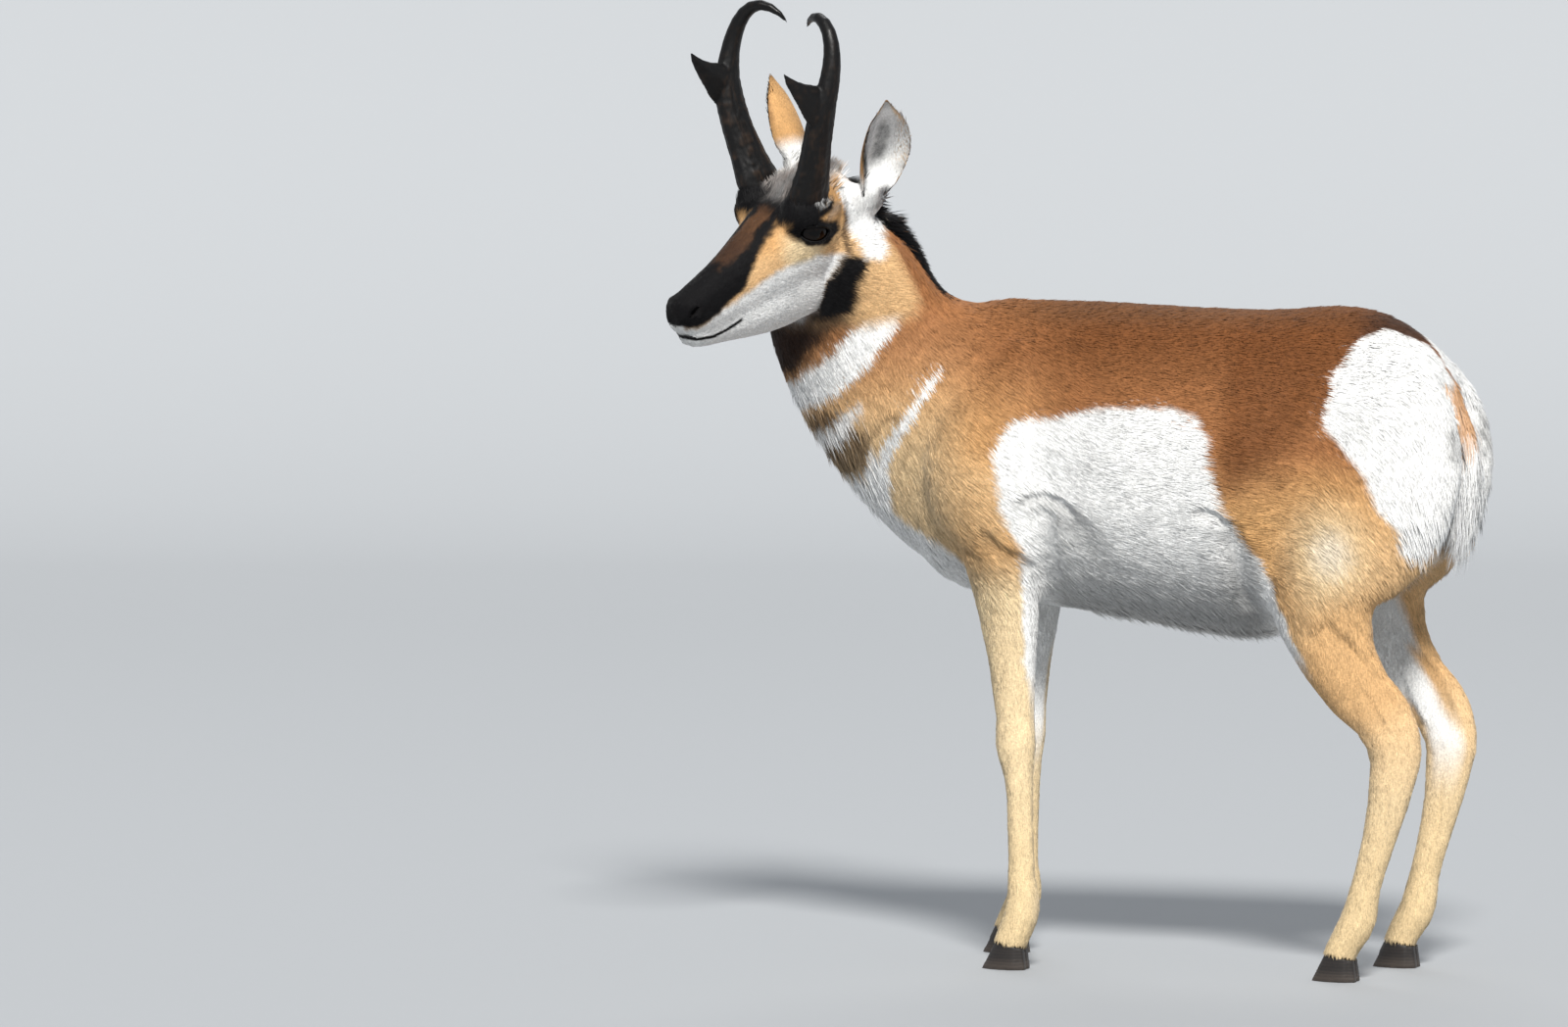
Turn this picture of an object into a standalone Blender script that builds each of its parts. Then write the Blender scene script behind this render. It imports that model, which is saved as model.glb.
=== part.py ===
"""A pronghorn buck standing still, at life size, with its head turned to its left.

The animal faces -X, its left side is -Y and its hooves stand on the plane z = 0.
The flesh is laid up from tapered lofts, fused into one smooth body and then parted
by thin cuts into torso, neck, head and legs. Horns, ears, eyes, tail and hooves are
pieces of their own, each seated on the flesh with a hair's breadth between them.
"""

import math
import random

import bmesh
import bpy
import numpy as np
from mathutils import Matrix, Vector
from mathutils.bvhtree import BVHTree

# Driving dimensions of the animal, in metres.
BACK = 0.896  # height of the withers and of the croup
GIRTH = 0.155  # half the width of the barrel at the last ribs
ELBOW = 0.585  # height of the elbow
KNEE = 0.300  # height of the knee of the foreleg
FETLOCK = 0.078  # height of the fetlock joints
STANCE = 0.100  # distance of each leg from the midline
GAP = 0.0003  # what touching pieces keep between them

# Where the head is carried: the point between the eyes, and its turn in degrees.
HEAD_AT = (-0.628, -0.133, 0.985)
HEAD_YAW, HEAD_PITCH, HEAD_ROLL = 60.0, -20.0, 8.0

EYE_AT = (-0.001, 0.0470, 0.0150)  # forward, outward and up from the point between the eyes
EYE_RADIUS = 0.0245
LID_THICKNESS = 0.0028

BODY_VOXEL = 0.0035
BODY_TRIANGLES = 6500
RELAX_ROUNDS = 60  # passes that blend one form into the next
FIRM_BELOW, FIRM_LEGS, FIRM_HEAD = 0.36, 0.05, 0.16  # where the blending is weaker, and how weak
SPARE_COST = 0.003  # how much dearer a triangle is to lose on the head than on the body
LEFT, RIGHT = -1, 1


def clear_scene():
    for found in list(bpy.data.objects):
        bpy.data.objects.remove(found)


def flow(rows, count):
    """Reads rows of station values at even steps along a smooth curve through every row."""
    rows = np.array(rows, float)
    steps = np.linalg.norm(np.diff(rows[:, :3], axis=0), axis=1)
    knots = np.concatenate([[0.0], np.cumsum(steps)])
    slopes = np.gradient(rows, knots, axis=0)
    at = np.linspace(0.0, knots[-1], count)
    span = np.clip(np.searchsorted(knots, at, side="right") - 1, 0, len(knots) - 2)
    length = (knots[span + 1] - knots[span])[:, None]
    t = (at - knots[span])[:, None] / length
    start, end = rows[span], rows[span + 1]
    leave, arrive = slopes[span] * length, slopes[span + 1] * length
    return (
        start * (2 * t**3 - 3 * t**2 + 1)
        + leave * (t**3 - 2 * t**2 + t)
        + end * (3 * t**2 - 2 * t**3)
        + arrive * (t**3 - t**2)
    )


def bend(value, power):
    return math.copysign(abs(value) ** power, value)


def skin_rings(rings):
    """A closed mesh over a row of rings of equal count, as a bmesh."""
    made = bmesh.new()
    loops = [[made.verts.new(point) for point in ring] for ring in rings]
    count = len(loops[0])
    for near, far in zip(loops, loops[1:]):
        for i in range(count):
            j = (i + 1) % count
            made.faces.new((near[i], near[j], far[j], far[i]))
    made.faces.new(loops[0])
    made.faces.new(loops[-1])
    bmesh.ops.recalc_face_normals(made, faces=made.faces[:])
    return made


def barrel(rows, count, sides, place=None):
    """A loft across the line of travel.

    Each row holds forward, 0, 0, top, widest height, bottom, half width and how
    pointed the section is above and below its widest height (1 is an ellipse).
    """
    rings = []
    for forward, _, _, top, middle, bottom, width, crown, keel in flow(rows, count):
        ring = []
        for i in range(sides):
            angle = 2 * math.pi * i / sides
            c, s = math.cos(angle), math.sin(angle)
            rise = (top - middle) if s > 0 else (middle - bottom)
            across = width * bend(c, crown if s > 0 else keel)
            ring.append(Vector((-forward, across, middle + rise * s)))
        rings.append([place @ point for point in ring] if place else ring)
    return skin_rings(rings)


def limb(rows, count, sides, side=(0, 1, 0), place=None, square=1.0):
    """A loft along a bent path. Each row holds x, y, z, and the reach ahead, behind and sideways."""
    stations = flow(rows, count)
    path = [Vector(station[:3]) for station in stations]
    rings = []
    for i, (centre, station) in enumerate(zip(path, stations)):
        ahead, behind, width = station[3:6]
        run = (path[min(i + 1, count - 1)] - path[max(i - 1, 0)]).normalized()
        across = (Vector(side) - run * run.dot(Vector(side))).normalized()
        fore = across.cross(run)
        ring = []
        for k in range(sides):
            angle = 2 * math.pi * k / sides
            c, s = bend(math.cos(angle), square), bend(math.sin(angle), square)
            ring.append(centre + fore * c * (ahead if c > 0 else behind) + across * s * width)
        rings.append([place @ point for point in ring] if place else ring)
    return skin_rings(rings)


def ball(centre, size, turn=None, place=None, detail=(24, 14)):
    """An ellipsoid of the three half sizes given."""
    made = bmesh.new()
    bmesh.ops.create_uvsphere(made, u_segments=detail[0], v_segments=detail[1], radius=1.0)
    shape = Matrix.Diagonal((*size, 1.0))
    matrix = Matrix.Translation(centre) @ (turn or Matrix.Identity(4)) @ shape
    bmesh.ops.transform(made, matrix=(place or Matrix.Identity(4)) @ matrix, verts=made.verts)
    bmesh.ops.recalc_face_normals(made, faces=made.faces[:])
    return made


def block(low, high, turn=None):
    """A box between two corners, as a cutter."""
    made = bmesh.new()
    bmesh.ops.create_cube(made, size=1.0)
    low, high = Vector(low), Vector(high)
    matrix = Matrix.Translation((low + high) / 2) @ Matrix.Diagonal((*(high - low), 1.0))
    bmesh.ops.transform(made, matrix=(turn or Matrix.Identity(4)) @ matrix, verts=made.verts)
    return made


def solid(name, made, collection=None):
    """An object from a bmesh."""
    mesh = bpy.data.meshes.new(name)
    made.to_mesh(mesh)
    made.free()
    found = bpy.data.objects.new(name, mesh)
    (collection or bpy.context.scene.collection).objects.link(found)
    return found


def joined(pieces):
    """Several bmeshes as one, without fusing them."""
    whole = bmesh.new()
    for piece in pieces:
        mesh = bpy.data.meshes.new("piece")
        piece.to_mesh(mesh)
        piece.free()
        whole.from_mesh(mesh)
        bpy.data.meshes.remove(mesh)
    return whole


def settle(found):
    """Replaces an object's mesh by what its modifiers make of it."""
    bpy.context.view_layer.update()
    graph = bpy.context.evaluated_depsgraph_get()
    mesh = bpy.data.meshes.new_from_object(found.evaluated_get(graph))
    old = found.data
    found.modifiers.clear()
    found.data = mesh
    bpy.data.meshes.remove(old)
    return found


def relax(found, rounds, weigh=None):
    """Evens out the surface of a fused mesh. weigh gives each point's share of the move."""
    mesh = found.data
    points = np.empty(len(mesh.vertices) * 3)
    mesh.vertices.foreach_get("co", points)
    points = points.reshape(-1, 3)
    ends = np.empty(len(mesh.edges) * 2, np.int32)
    mesh.edges.foreach_get("vertices", ends)
    a, b = ends.reshape(-1, 2).T
    start, end = np.concatenate([a, b]), np.concatenate([b, a])
    valence = np.bincount(start, minlength=len(points))
    share = np.full(len(points), 0.5) if weigh is None else 0.5 * weigh(points)
    for _ in range(rounds):
        near = np.stack(
            [np.bincount(start, weights=points[end, i], minlength=len(points)) for i in range(3)],
            axis=1,
        )
        points += share[:, None] * (near / valence[:, None] - points)
    mesh.vertices.foreach_set("co", points.ravel())
    mesh.update()
    return found


def fuse(name, pieces, voxel):
    """One closed skin over overlapping pieces."""
    found = solid(name, joined(pieces))
    remesh = found.modifiers.new("Fuse", "REMESH")
    remesh.mode = "VOXEL"
    remesh.voxel_size = voxel
    return settle(found)


def mend(found):
    """Cuts out any spot where a fold left more or fewer than two faces on an edge, and closes it."""
    made = bmesh.new()
    made.from_mesh(found.data)
    for _ in range(6):
        bad = {vert for edge in made.edges if not edge.is_manifold for vert in edge.verts}
        bad |= {vert for vert in made.verts if not vert.is_manifold}
        if not bad:
            break
        near = {face for vert in bad for face in vert.link_faces}
        bmesh.ops.delete(made, geom=list(near), context="FACES")
        loose = [vert for vert in made.verts if not vert.link_faces]
        bmesh.ops.delete(made, geom=loose, context="VERTS")
        rim = [edge for edge in made.edges if edge.is_boundary]
        filled = bmesh.ops.holes_fill(made, edges=rim, sides=0)["faces"]
        bmesh.ops.triangulate(made, faces=filled)
    bmesh.ops.recalc_face_normals(made, faces=made.faces[:])
    made.to_mesh(found.data)
    made.free()
    return found


def thin_out(found, triangles, spare=None):
    """Leaves about this many triangles, more of them where spare(points) is near 1."""
    found.data.calc_loop_triangles()
    thin = found.modifiers.new("Thin", "DECIMATE")
    thin.ratio = min(1.0, triangles / len(found.data.loop_triangles))
    thin.use_collapse_triangulate = True
    if spare:
        points = np.empty(len(found.data.vertices) * 3)
        found.data.vertices.foreach_get("co", points)
        weights = 1.0 - 0.9 * spare(points.reshape(-1, 3))
        group = found.vertex_groups.new(name="thin")
        for step in np.unique(np.round(weights, 1)):
            members = np.nonzero(np.round(weights, 1) == step)[0]
            group.add(members.tolist(), float(step), "REPLACE")
        thin.vertex_group = group.name
        thin.vertex_group_factor = SPARE_COST
    return mend(settle(found))


def is_closed(found):
    made = bmesh.new()
    made.from_mesh(found.data)
    closed = len(made.faces) > 3 and all(edge.is_manifold for edge in made.edges)
    made.free()
    return closed


def change(found, operation, other):
    """An applied Boolean with an object or a collection. The second solver takes over if the first fails."""
    before = found.data.copy()
    for solver in ("EXACT", "MANIFOLD"):
        step = found.modifiers.new("Change", "BOOLEAN")
        step.operation = operation
        step.solver = solver
        if isinstance(other, bpy.types.Collection):
            step.operand_type = "COLLECTION"
            step.collection = other
        else:
            step.object = other
        settle(found)
        if is_closed(found):
            break
        found.data = before.copy()
    bpy.data.meshes.remove(before)
    return found


def combine(found, cutter, operation):
    """A Boolean with an object that isn't needed afterwards."""
    change(found, operation, cutter)
    bpy.data.objects.remove(cutter)
    return found


def grow(host, tufts):
    """Fuses tufts of hair into the piece they grow from."""
    bed = bpy.data.collections.new("tufts")
    bpy.context.scene.collection.children.link(bed)
    for made in tufts:
        solid("tuft", made, bed)
    change(host, "UNION", bed)
    for tuft in list(bed.objects):
        bpy.data.objects.remove(tuft)
    bpy.data.collections.remove(bed)
    return keep_largest(host)


def keep_largest(found):
    """Drops any loose scrap and keeps the body with the most faces' volume."""
    made = bmesh.new()
    made.from_mesh(found.data)
    bmesh.ops.remove_doubles(made, verts=made.verts, dist=2e-6)
    left, bodies = set(made.faces), []
    while left:
        body, edge = set(), [left.pop()]
        while edge:
            face = edge.pop()
            body.add(face)
            for link in {near for side in face.edges for near in side.link_faces} & left:
                left.discard(link)
                edge.append(link)
        bodies.append(body)
    largest = max(bodies, key=lambda body: sum(face.calc_area() for face in body))
    bmesh.ops.delete(
        made, geom=[face for body in bodies if body is not largest for face in body], context="FACES"
    )
    loose = [vert for vert in made.verts if not vert.link_faces]
    bmesh.ops.delete(made, geom=loose, context="VERTS")
    made.to_mesh(found.data)
    made.free()
    return found


def copy_of(found, name):
    other = bpy.data.objects.new(name, found.data.copy())
    bpy.context.scene.collection.objects.link(other)
    return other


def swollen(found, by=GAP):
    """A copy of a piece grown along its normals, for cutting a neighbour clear of it."""
    other = copy_of(found, found.name + "_swollen")
    other.hide_render = True
    for vert in other.data.vertices:
        vert.co += vert.normal * by
    return other


def seat(piece, host, gap=GAP):
    """Cuts a piece clear of the flesh it grows from, and keeps what stands outside it."""
    combine(piece, swollen(host, gap), "DIFFERENCE")
    return keep_largest(piece)


# The trunk: forward, two unused places, top, widest height, bottom, half width, crown, keel.
TRUNK = [
    (0.500, 0, 0, 0.730, 0.665, 0.600, 0.030, 1.0, 1.0),
    (0.478, 0, 0, 0.790, 0.665, 0.550, 0.074, 1.0, 1.0),
    (0.430, 0, 0, 0.872, 0.660, 0.508, 0.098, 1.1, 0.9),
    (0.370, 0, 0, 0.899, 0.655, 0.497, 0.113, 1.2, 0.9),
    (0.317, 0, 0, BACK + 0.003, 0.645, 0.486, 0.124, 1.25, 0.9),
    (0.250, 0, 0, BACK + 0.002, 0.640, 0.478, 0.138, 1.1, 0.85),
    (0.170, 0, 0, 0.895, 0.635, 0.470, 0.150, 0.95, 0.8),
    (0.080, 0, 0, 0.891, 0.630, 0.457, GIRTH, 0.9, 0.8),
    (0.020, 0, 0, 0.890, 0.630, 0.451, 0.155, 0.9, 0.8),
    (-0.040, 0, 0, 0.892, 0.645, 0.460, 0.144, 0.9, 0.8),
    (-0.100, 0, 0, 0.897, 0.665, 0.498, 0.132, 0.9, 0.9),
    (-0.150, 0, 0, 0.892, 0.680, 0.526, 0.126, 0.9, 1.0),
    (-0.200, 0, 0, 0.869, 0.690, 0.540, 0.120, 0.9, 1.0),
    (-0.245, 0, 0, 0.828, 0.690, 0.558, 0.108, 0.9, 1.0),
    (-0.264, 0, 0, 0.790, 0.690, 0.584, 0.098, 0.95, 1.0),
    (-0.276, 0, 0, 0.740, 0.685, 0.628, 0.068, 1.0, 1.0),
]

# The neck, from inside the shoulders to inside the skull: x, y, z, nape, throat, half width.
NECK = [
    (-0.330, 0.000, 0.690, 0.185, 0.190, 0.098),
    (-0.400, 0.000, 0.716, 0.185, 0.190, 0.104),
    (-0.470, -0.003, 0.756, 0.158, 0.166, 0.096),
    (-0.525, -0.012, 0.802, 0.138, 0.142, 0.084),
    (-0.560, -0.026, 0.852, 0.130, 0.126, 0.077),
    (-0.580, -0.042, 0.902, 0.124, 0.112, 0.071),
    (-0.590, -0.062, 0.948, 0.104, 0.092, 0.064),
    (-0.600, -0.082, 0.988, 0.065, 0.060, 0.050),
]

# The bed of the dark mane on the nape, from the poll to the withers, and its rise and half width.
MANE = [
    (-0.548, -0.046, 0.985, 0.008, 0.012, 0.010),
    (-0.520, -0.030, 0.978, 0.014, 0.016, 0.012),
    (-0.494, -0.018, 0.955, 0.013, 0.016, 0.012),
    (-0.475, -0.010, 0.920, 0.008, 0.014, 0.010),
    (-0.455, -0.004, 0.895, 0.004, 0.004, 0.005),
]

# The head in its own frame: forward, 0, 0, top, widest height, bottom, half width, crown, keel.
SKULL = [
    (0.225, 0, 0, -0.022, -0.033, -0.048, 0.010, 0.9, 0.9),
    (0.220, 0, 0, -0.015, -0.033, -0.055, 0.018, 0.85, 0.85),
    (0.208, 0, 0, -0.009, -0.035, -0.063, 0.0255, 0.85, 0.85),
    (0.190, 0, 0, -0.004, -0.037, -0.071, 0.029, 0.85, 0.85),
    (0.165, 0, 0, 0.003, -0.039, -0.076, 0.031, 0.85, 0.85),
    (0.130, 0, 0, 0.013, -0.037, -0.077, 0.034, 0.9, 0.9),
    (0.090, 0, 0, 0.027, -0.031, -0.082, 0.041, 0.95, 1.0),
    (0.050, 0, 0, 0.041, -0.022, -0.088, 0.051, 0.95, 1.1),
    (0.010, 0, 0, 0.056, -0.008, -0.092, 0.059, 0.9, 1.1),
    (-0.030, 0, 0, 0.067, 0.000, -0.090, 0.061, 0.9, 1.1),
    (-0.070, 0, 0, 0.067, 0.000, -0.082, 0.058, 0.9, 1.0),
    (-0.105, 0, 0, 0.052, -0.004, -0.066, 0.046, 1.0, 1.0),
    (-0.124, 0, 0, 0.028, -0.006, -0.040, 0.024, 1.0, 1.0),
]
JAW = [
    (0.213, 0, 0, -0.060, -0.067, -0.074, 0.010, 0.9, 0.9),
    (0.204, 0, 0, -0.054, -0.068, -0.081, 0.018, 0.9, 0.9),
    (0.186, 0, 0, -0.050, -0.070, -0.088, 0.0225, 0.9, 0.9),
    (0.150, 0, 0, -0.045, -0.070, -0.097, 0.0255, 0.9, 0.9),
    (0.110, 0, 0, -0.035, -0.070, -0.107, 0.033, 0.9, 0.9),
    (0.070, 0, 0, -0.025, -0.068, -0.115, 0.041, 0.9, 0.9),
    (0.030, 0, 0, -0.010, -0.060, -0.118, 0.046, 0.9, 0.9),
    (-0.010, 0, 0, 0.000, -0.048, -0.110, 0.045, 0.9, 0.9),
    (-0.045, 0, 0, 0.010, -0.030, -0.088, 0.036, 0.9, 0.9),
]

# Forelegs and hind legs, out from the midline: x, y, z, and the reach ahead, behind and sideways.
FORELEG = [
    (-0.315, 0.058, 0.840, 0.035, 0.045, 0.022),
    (-0.335, 0.080, 0.770, 0.070, 0.075, 0.034),
    (-0.358, 0.095, 0.690, 0.092, 0.100, 0.044),
    (-0.354, 0.100, 0.630, 0.084, 0.102, 0.047),
    (-0.340, STANCE, ELBOW, 0.064, 0.076, 0.044),
    (-0.333, STANCE - 0.006, 0.530, 0.054, 0.052, 0.040),
    (-0.328, STANCE - 0.010, 0.465, 0.041, 0.042, 0.034),
    (-0.324, STANCE - 0.012, 0.390, 0.030, 0.031, 0.026),
    (-0.321, STANCE - 0.013, 0.335, 0.026, 0.027, 0.022),
    (-0.3195, STANCE - 0.013, KNEE, 0.0275, 0.027, 0.0235),
    (-0.316, STANCE - 0.012, 0.262, 0.020, 0.021, 0.0185),
    (-0.313, STANCE - 0.011, 0.190, 0.0175, 0.0185, 0.0150),
    (-0.311, STANCE - 0.010, 0.125, 0.0185, 0.0195, 0.0155),
    (-0.310, STANCE - 0.009, FETLOCK, 0.0225, 0.0245, 0.0205),
    (-0.322, STANCE - 0.008, 0.048, 0.021, 0.024, 0.0205),
    (-0.334, STANCE - 0.008, 0.018, 0.021, 0.024, 0.0210),
]
HINDLEG = [
    (0.110, 0.056, 0.835, 0.070, 0.068, 0.030),
    (0.140, 0.072, 0.770, 0.105, 0.118, 0.046),
    (0.160, 0.080, 0.700, 0.122, 0.138, 0.058),
    (0.150, 0.093, 0.630, 0.128, 0.130, 0.057),
    (0.125, 0.101, 0.565, 0.106, 0.110, 0.052),
    (0.112, 0.106, 0.510, 0.080, 0.080, 0.047),
    (0.124, 0.106, 0.455, 0.060, 0.060, 0.040),
    (0.160, 0.104, 0.390, 0.046, 0.046, 0.031),
    (0.192, 0.102, 0.350, 0.038, 0.044, 0.025),
    (0.206, STANCE, 0.310, 0.033, 0.040, 0.0235),
    (0.203, STANCE - 0.002, 0.262, 0.030, 0.031, 0.0200),
    (0.187, STANCE - 0.004, 0.195, 0.0230, 0.0240, 0.0165),
    (0.168, STANCE - 0.006, 0.128, 0.0200, 0.0210, 0.0160),
    (0.155, STANCE - 0.007, FETLOCK, 0.0235, 0.0250, 0.0205),
    (0.137, STANCE - 0.008, 0.048, 0.0210, 0.0230, 0.0200),
    (0.124, STANCE - 0.008, 0.018, 0.0210, 0.0230, 0.0205),
]
# How far the right feet stand from the left ones, and how soon down the leg that is reached.
RIGHT_FORE_LEAN, RIGHT_HIND_LEAN = -0.057, 0.035
LEAN_FROM, LEAN_BOW = 0.60, 0.55

# A horn in the head's frame, out from its midline: back, out, up, and half its width and length across.
HORN = [
    (0.011, 0.043, 0.044, 0.020, 0.020, 0.034),
    (0.009, 0.051, 0.070, 0.021, 0.021, 0.032),
    (0.011, 0.065, 0.105, 0.0185, 0.0185, 0.0255),
    (0.014, 0.080, 0.150, 0.0170, 0.0170, 0.0218),
    (0.021, 0.091, 0.190, 0.0155, 0.0155, 0.0200),
    (0.036, 0.096, 0.223, 0.0130, 0.0130, 0.0148),
    (0.047, 0.095, 0.246, 0.0120, 0.0120, 0.0122),
    (0.058, 0.088, 0.270, 0.0104, 0.0104, 0.0104),
    (0.067, 0.074, 0.288, 0.0090, 0.0090, 0.0090),
    (0.072, 0.057, 0.295, 0.0074, 0.0074, 0.0074),
    (0.077, 0.040, 0.291, 0.0056, 0.0056, 0.0056),
    (0.080, 0.028, 0.283, 0.0036, 0.0036, 0.0036),
    (0.082, 0.019, 0.272, 0.0010, 0.0010, 0.0010),
]
PRONG = [
    (0.026, 0.091, 0.190, 0.034, 0.036, 0.0110),
    (0.010, 0.091, 0.203, 0.026, 0.030, 0.0105),
    (-0.004, 0.091, 0.218, 0.018, 0.020, 0.0085),
    (-0.016, 0.091, 0.234, 0.009, 0.014, 0.0065),
    (-0.027, 0.090, 0.248, 0.005, 0.008, 0.0042),
    (-0.035, 0.089, 0.262, 0.001, 0.001, 0.0010),
]

# Swellings of the head, out from its midline: back, out and up, and their half sizes.
SWELLINGS = [
    ((0.010, 0.042, 0.031), (0.052, 0.032, 0.038)),  # the brow over the eye
    ((0.011, 0.041, 0.001), (0.045, 0.026, 0.030)),  # the rim under the eye
    ((0.085, 0.030, -0.047), (0.045, 0.034, 0.060)),  # where the jaw runs into the neck
    ((-0.012, 0.031, -0.058), (0.060, 0.019, 0.050)),  # the cheek
    ((-0.200, 0.014, -0.024), (0.017, 0.0145, 0.014)),  # the side of the nostril
]
EAR_ROOT, EAR_SINK = (0.026, 0.023, 0.029), 0.005

# Each ear in the head's frame, out from its midline: root, tip, the way its cup faces, and its bow.
EARS = {
    LEFT: ((0.104, 0.060, 0.014), (0.117, 0.112, 0.167), (-0.30, 0.94, 0.0), (0.011, 0.004, 0.0)),
    RIGHT: ((0.086, 0.052, 0.050), (0.117, 0.112, 0.167), (-0.35, 0.92, 0.0), (0.0, 0.003, 0.0)),
}
EAR_WALL = 0.0028

# Along an ear: share of its length, half width, depth, curl in degrees and how hollow it is.
EAR = [
    (0.00, 0.016, 0.015, 100, 0.0),
    (0.12, 0.021, 0.019, 112, 0.2),
    (0.28, 0.031, 0.023, 118, 1.0),
    (0.45, 0.0365, 0.021, 108, 1.0),
    (0.62, 0.0345, 0.017, 98, 1.0),
    (0.78, 0.026, 0.012, 92, 1.0),
    (0.90, 0.012, 0.006, 90, 1.0),
    (1.00, 0.0020, 0.0018, 90, 1.0),
]

# The mouth from the front of the lips to its corner, and a nostril: forward, out and up.
MOUTH = [
    (0.226, 0.000, -0.052),
    (0.219, 0.013, -0.058),
    (0.205, 0.022, -0.067),
    (0.180, 0.027, -0.073),
    (0.158, 0.030, -0.0725),
    (0.142, 0.033, -0.070),
]
LIP_GAP, LIP_DEPTH = 0.0017, 0.0030
NOSTRIL_AT, NOSTRIL_SIZE = (0.206, 0.040, -0.026), (0.0078, 0.0062, 0.0036)
NOSTRIL_YAW, NOSTRIL_PITCH = 30.0, -38.0

# The opening between the lids: half its length, its rise and its fall, and its tilt in degrees.
LID_HALF, LID_RISE, LID_FALL, LID_TILT = 0.0232, 0.0105, 0.0140, 16.0
EYE_LOOK, EYE_LIFT = 24.0, 0.06  # degrees that the eye looks forward, and how far it looks up

# A lock: where along it each ring lies and how wide it is there.
TUFT_TAPER = [(0.0, 0.80), (0.35, 1.0), (0.72, 0.70), (1.0, 0.12)]
MANE_RANKS, MANE_SPREAD, MANE_LENGTH, MANE_WIDTH = 11, 0.0095, 0.041, 0.0100
TAIL_RANKS, TAIL_LENGTH, TAIL_WIDTH, TAIL_FAN = 3, 0.078, 0.0120, 34
LOCK_THICK = 0.0028

# Where the body is parted, each as a point and the way the cut faces.
HEAD_CUT = ((0.143, 0.0, 0.020), (-0.800, 0.0, 0.600))
NECK_CUT = ((-0.378, 0.0, 0.885), (-0.945, 0.0, 0.320))
# A leg is parted below a slope: its front and rear ends, its height and its rise backwards and outwards.
LEG_INNER, LEG_OUTER = 0.042, 0.260
CUT_REACH, CUT_DEPTH = 0.45, 0.70
FORELEG_CUT = (-0.480, -0.240, 0.434, 0.0, 0.80)
HINDLEG_CUT = (0.015, 0.380, 0.444, 0.50, 0.60)

# A claw: how far it reaches ahead and behind the coronet, its width, height and the cleft beside it.
CLAW_TOE, CLAW_HEEL, CLAW_WIDE, CORONET, CLEFT = 0.038, 0.026, 0.0200, 0.034, 0.0016
CLAW_SLOPE = 0.019  # how far the toe's wall leans back on its way up
CLEFT_OPENS, TOE_BLUNT = 0.0022, 0.0008  # how the claws part towards the toe, and the toe's thickness
CORONET_FALL = 0.22  # how much the coronet falls towards the heel for each metre

TAIL = [
    (0.222, 0.0, 0.822, 0.030, 0.018, 0.020),
    (0.250, 0.0, 0.795, 0.022, 0.017, 0.020),
    (0.268, 0.0, 0.750, 0.020, 0.014, 0.020),
    (0.274, 0.0, 0.705, 0.018, 0.011, 0.017),
    (0.272, 0.0, 0.665, 0.015, 0.007, 0.012),
    (0.268, 0.0, 0.632, 0.005, 0.003, 0.004),
]


def head_frame():
    turns = [
        Matrix.Rotation(math.radians(HEAD_YAW), 4, "Z"),
        Matrix.Rotation(math.radians(HEAD_PITCH), 4, "Y"),
        Matrix.Rotation(math.radians(HEAD_ROLL), 4, "X"),
    ]
    return Matrix.Translation(HEAD_AT) @ turns[0] @ turns[1] @ turns[2]


def on_side(rows, side, lean=0.0):
    """Rows set at one side, carried along X the more the nearer they lie to the floor."""
    placed = []
    for x, y, z, ahead, behind, width in rows:
        low = min(1.0, max(0.0, 1 - z / LEAN_FROM))
        placed.append((x + lean * low**LEAN_BOW, side * y, z, ahead, behind, width))
    return placed


def head_share(points, head):
    """How far each point belongs to the head, from 0 to 1."""
    into_head = head.inverted()
    local = points @ np.array(into_head.to_3x3()).T + np.array(into_head.translation)
    return np.clip((0.11 - local[:, 0]) / 0.05, 0, 1) * np.clip((local[:, 2] + 0.15) / 0.04, 0, 1)


def whole_body(head):
    """Trunk, neck, legs and head as one closed skin, smooth where flesh runs on from part to part."""
    flesh = [barrel(TRUNK, 60, 40), limb(NECK, 40, 36), limb(MANE, 20, 12)]
    for side, fore_lean, hind_lean in ((LEFT, 0, 0), (RIGHT, RIGHT_FORE_LEAN, RIGHT_HIND_LEAN)):
        flesh.append(limb(on_side(FORELEG, side, fore_lean), 70, 24))
        flesh.append(limb(on_side(HINDLEG, side, hind_lean), 70, 24))
        for (back, out, up), size in SWELLINGS:
            flesh.append(ball((back, side * out, up), size, place=head))
        back, out, up = EARS[side][0]
        flesh.append(ball((back, side * (out - EAR_SINK), up + EAR_SINK), EAR_ROOT, place=head))
    flesh += [barrel(SKULL, 70, 40, head), barrel(JAW, 60, 32, head)]
    body = fuse("body", flesh, BODY_VOXEL)

    def share(points):
        trunk = np.clip((points[:, 2] - FIRM_BELOW) / 0.15, FIRM_LEGS, 1.0)
        inside = head_share(points, head)
        return trunk * (1 - inside) + FIRM_HEAD * inside

    return relax(body, RELAX_ROUNDS, share)


def tuft(root, lead, flat, length, width, thick, droop):
    """A flat tapered lock: its root, the way it leads, the way its width lies and how far it droops."""
    lead = lead.normalized()
    rings = []
    for t, share in TUFT_TAPER:
        centre = root + (lead * t + droop * t * t) * length
        run = (lead + droop * 2 * t).normalized()
        wide = (flat - run * flat.dot(run)).normalized()
        up = wide.cross(run)
        wide, up = wide * width * share, up * thick * share
        rings.append([centre + wide, centre + up, centre - wide, centre - up])
    return skin_rings(rings)


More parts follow.
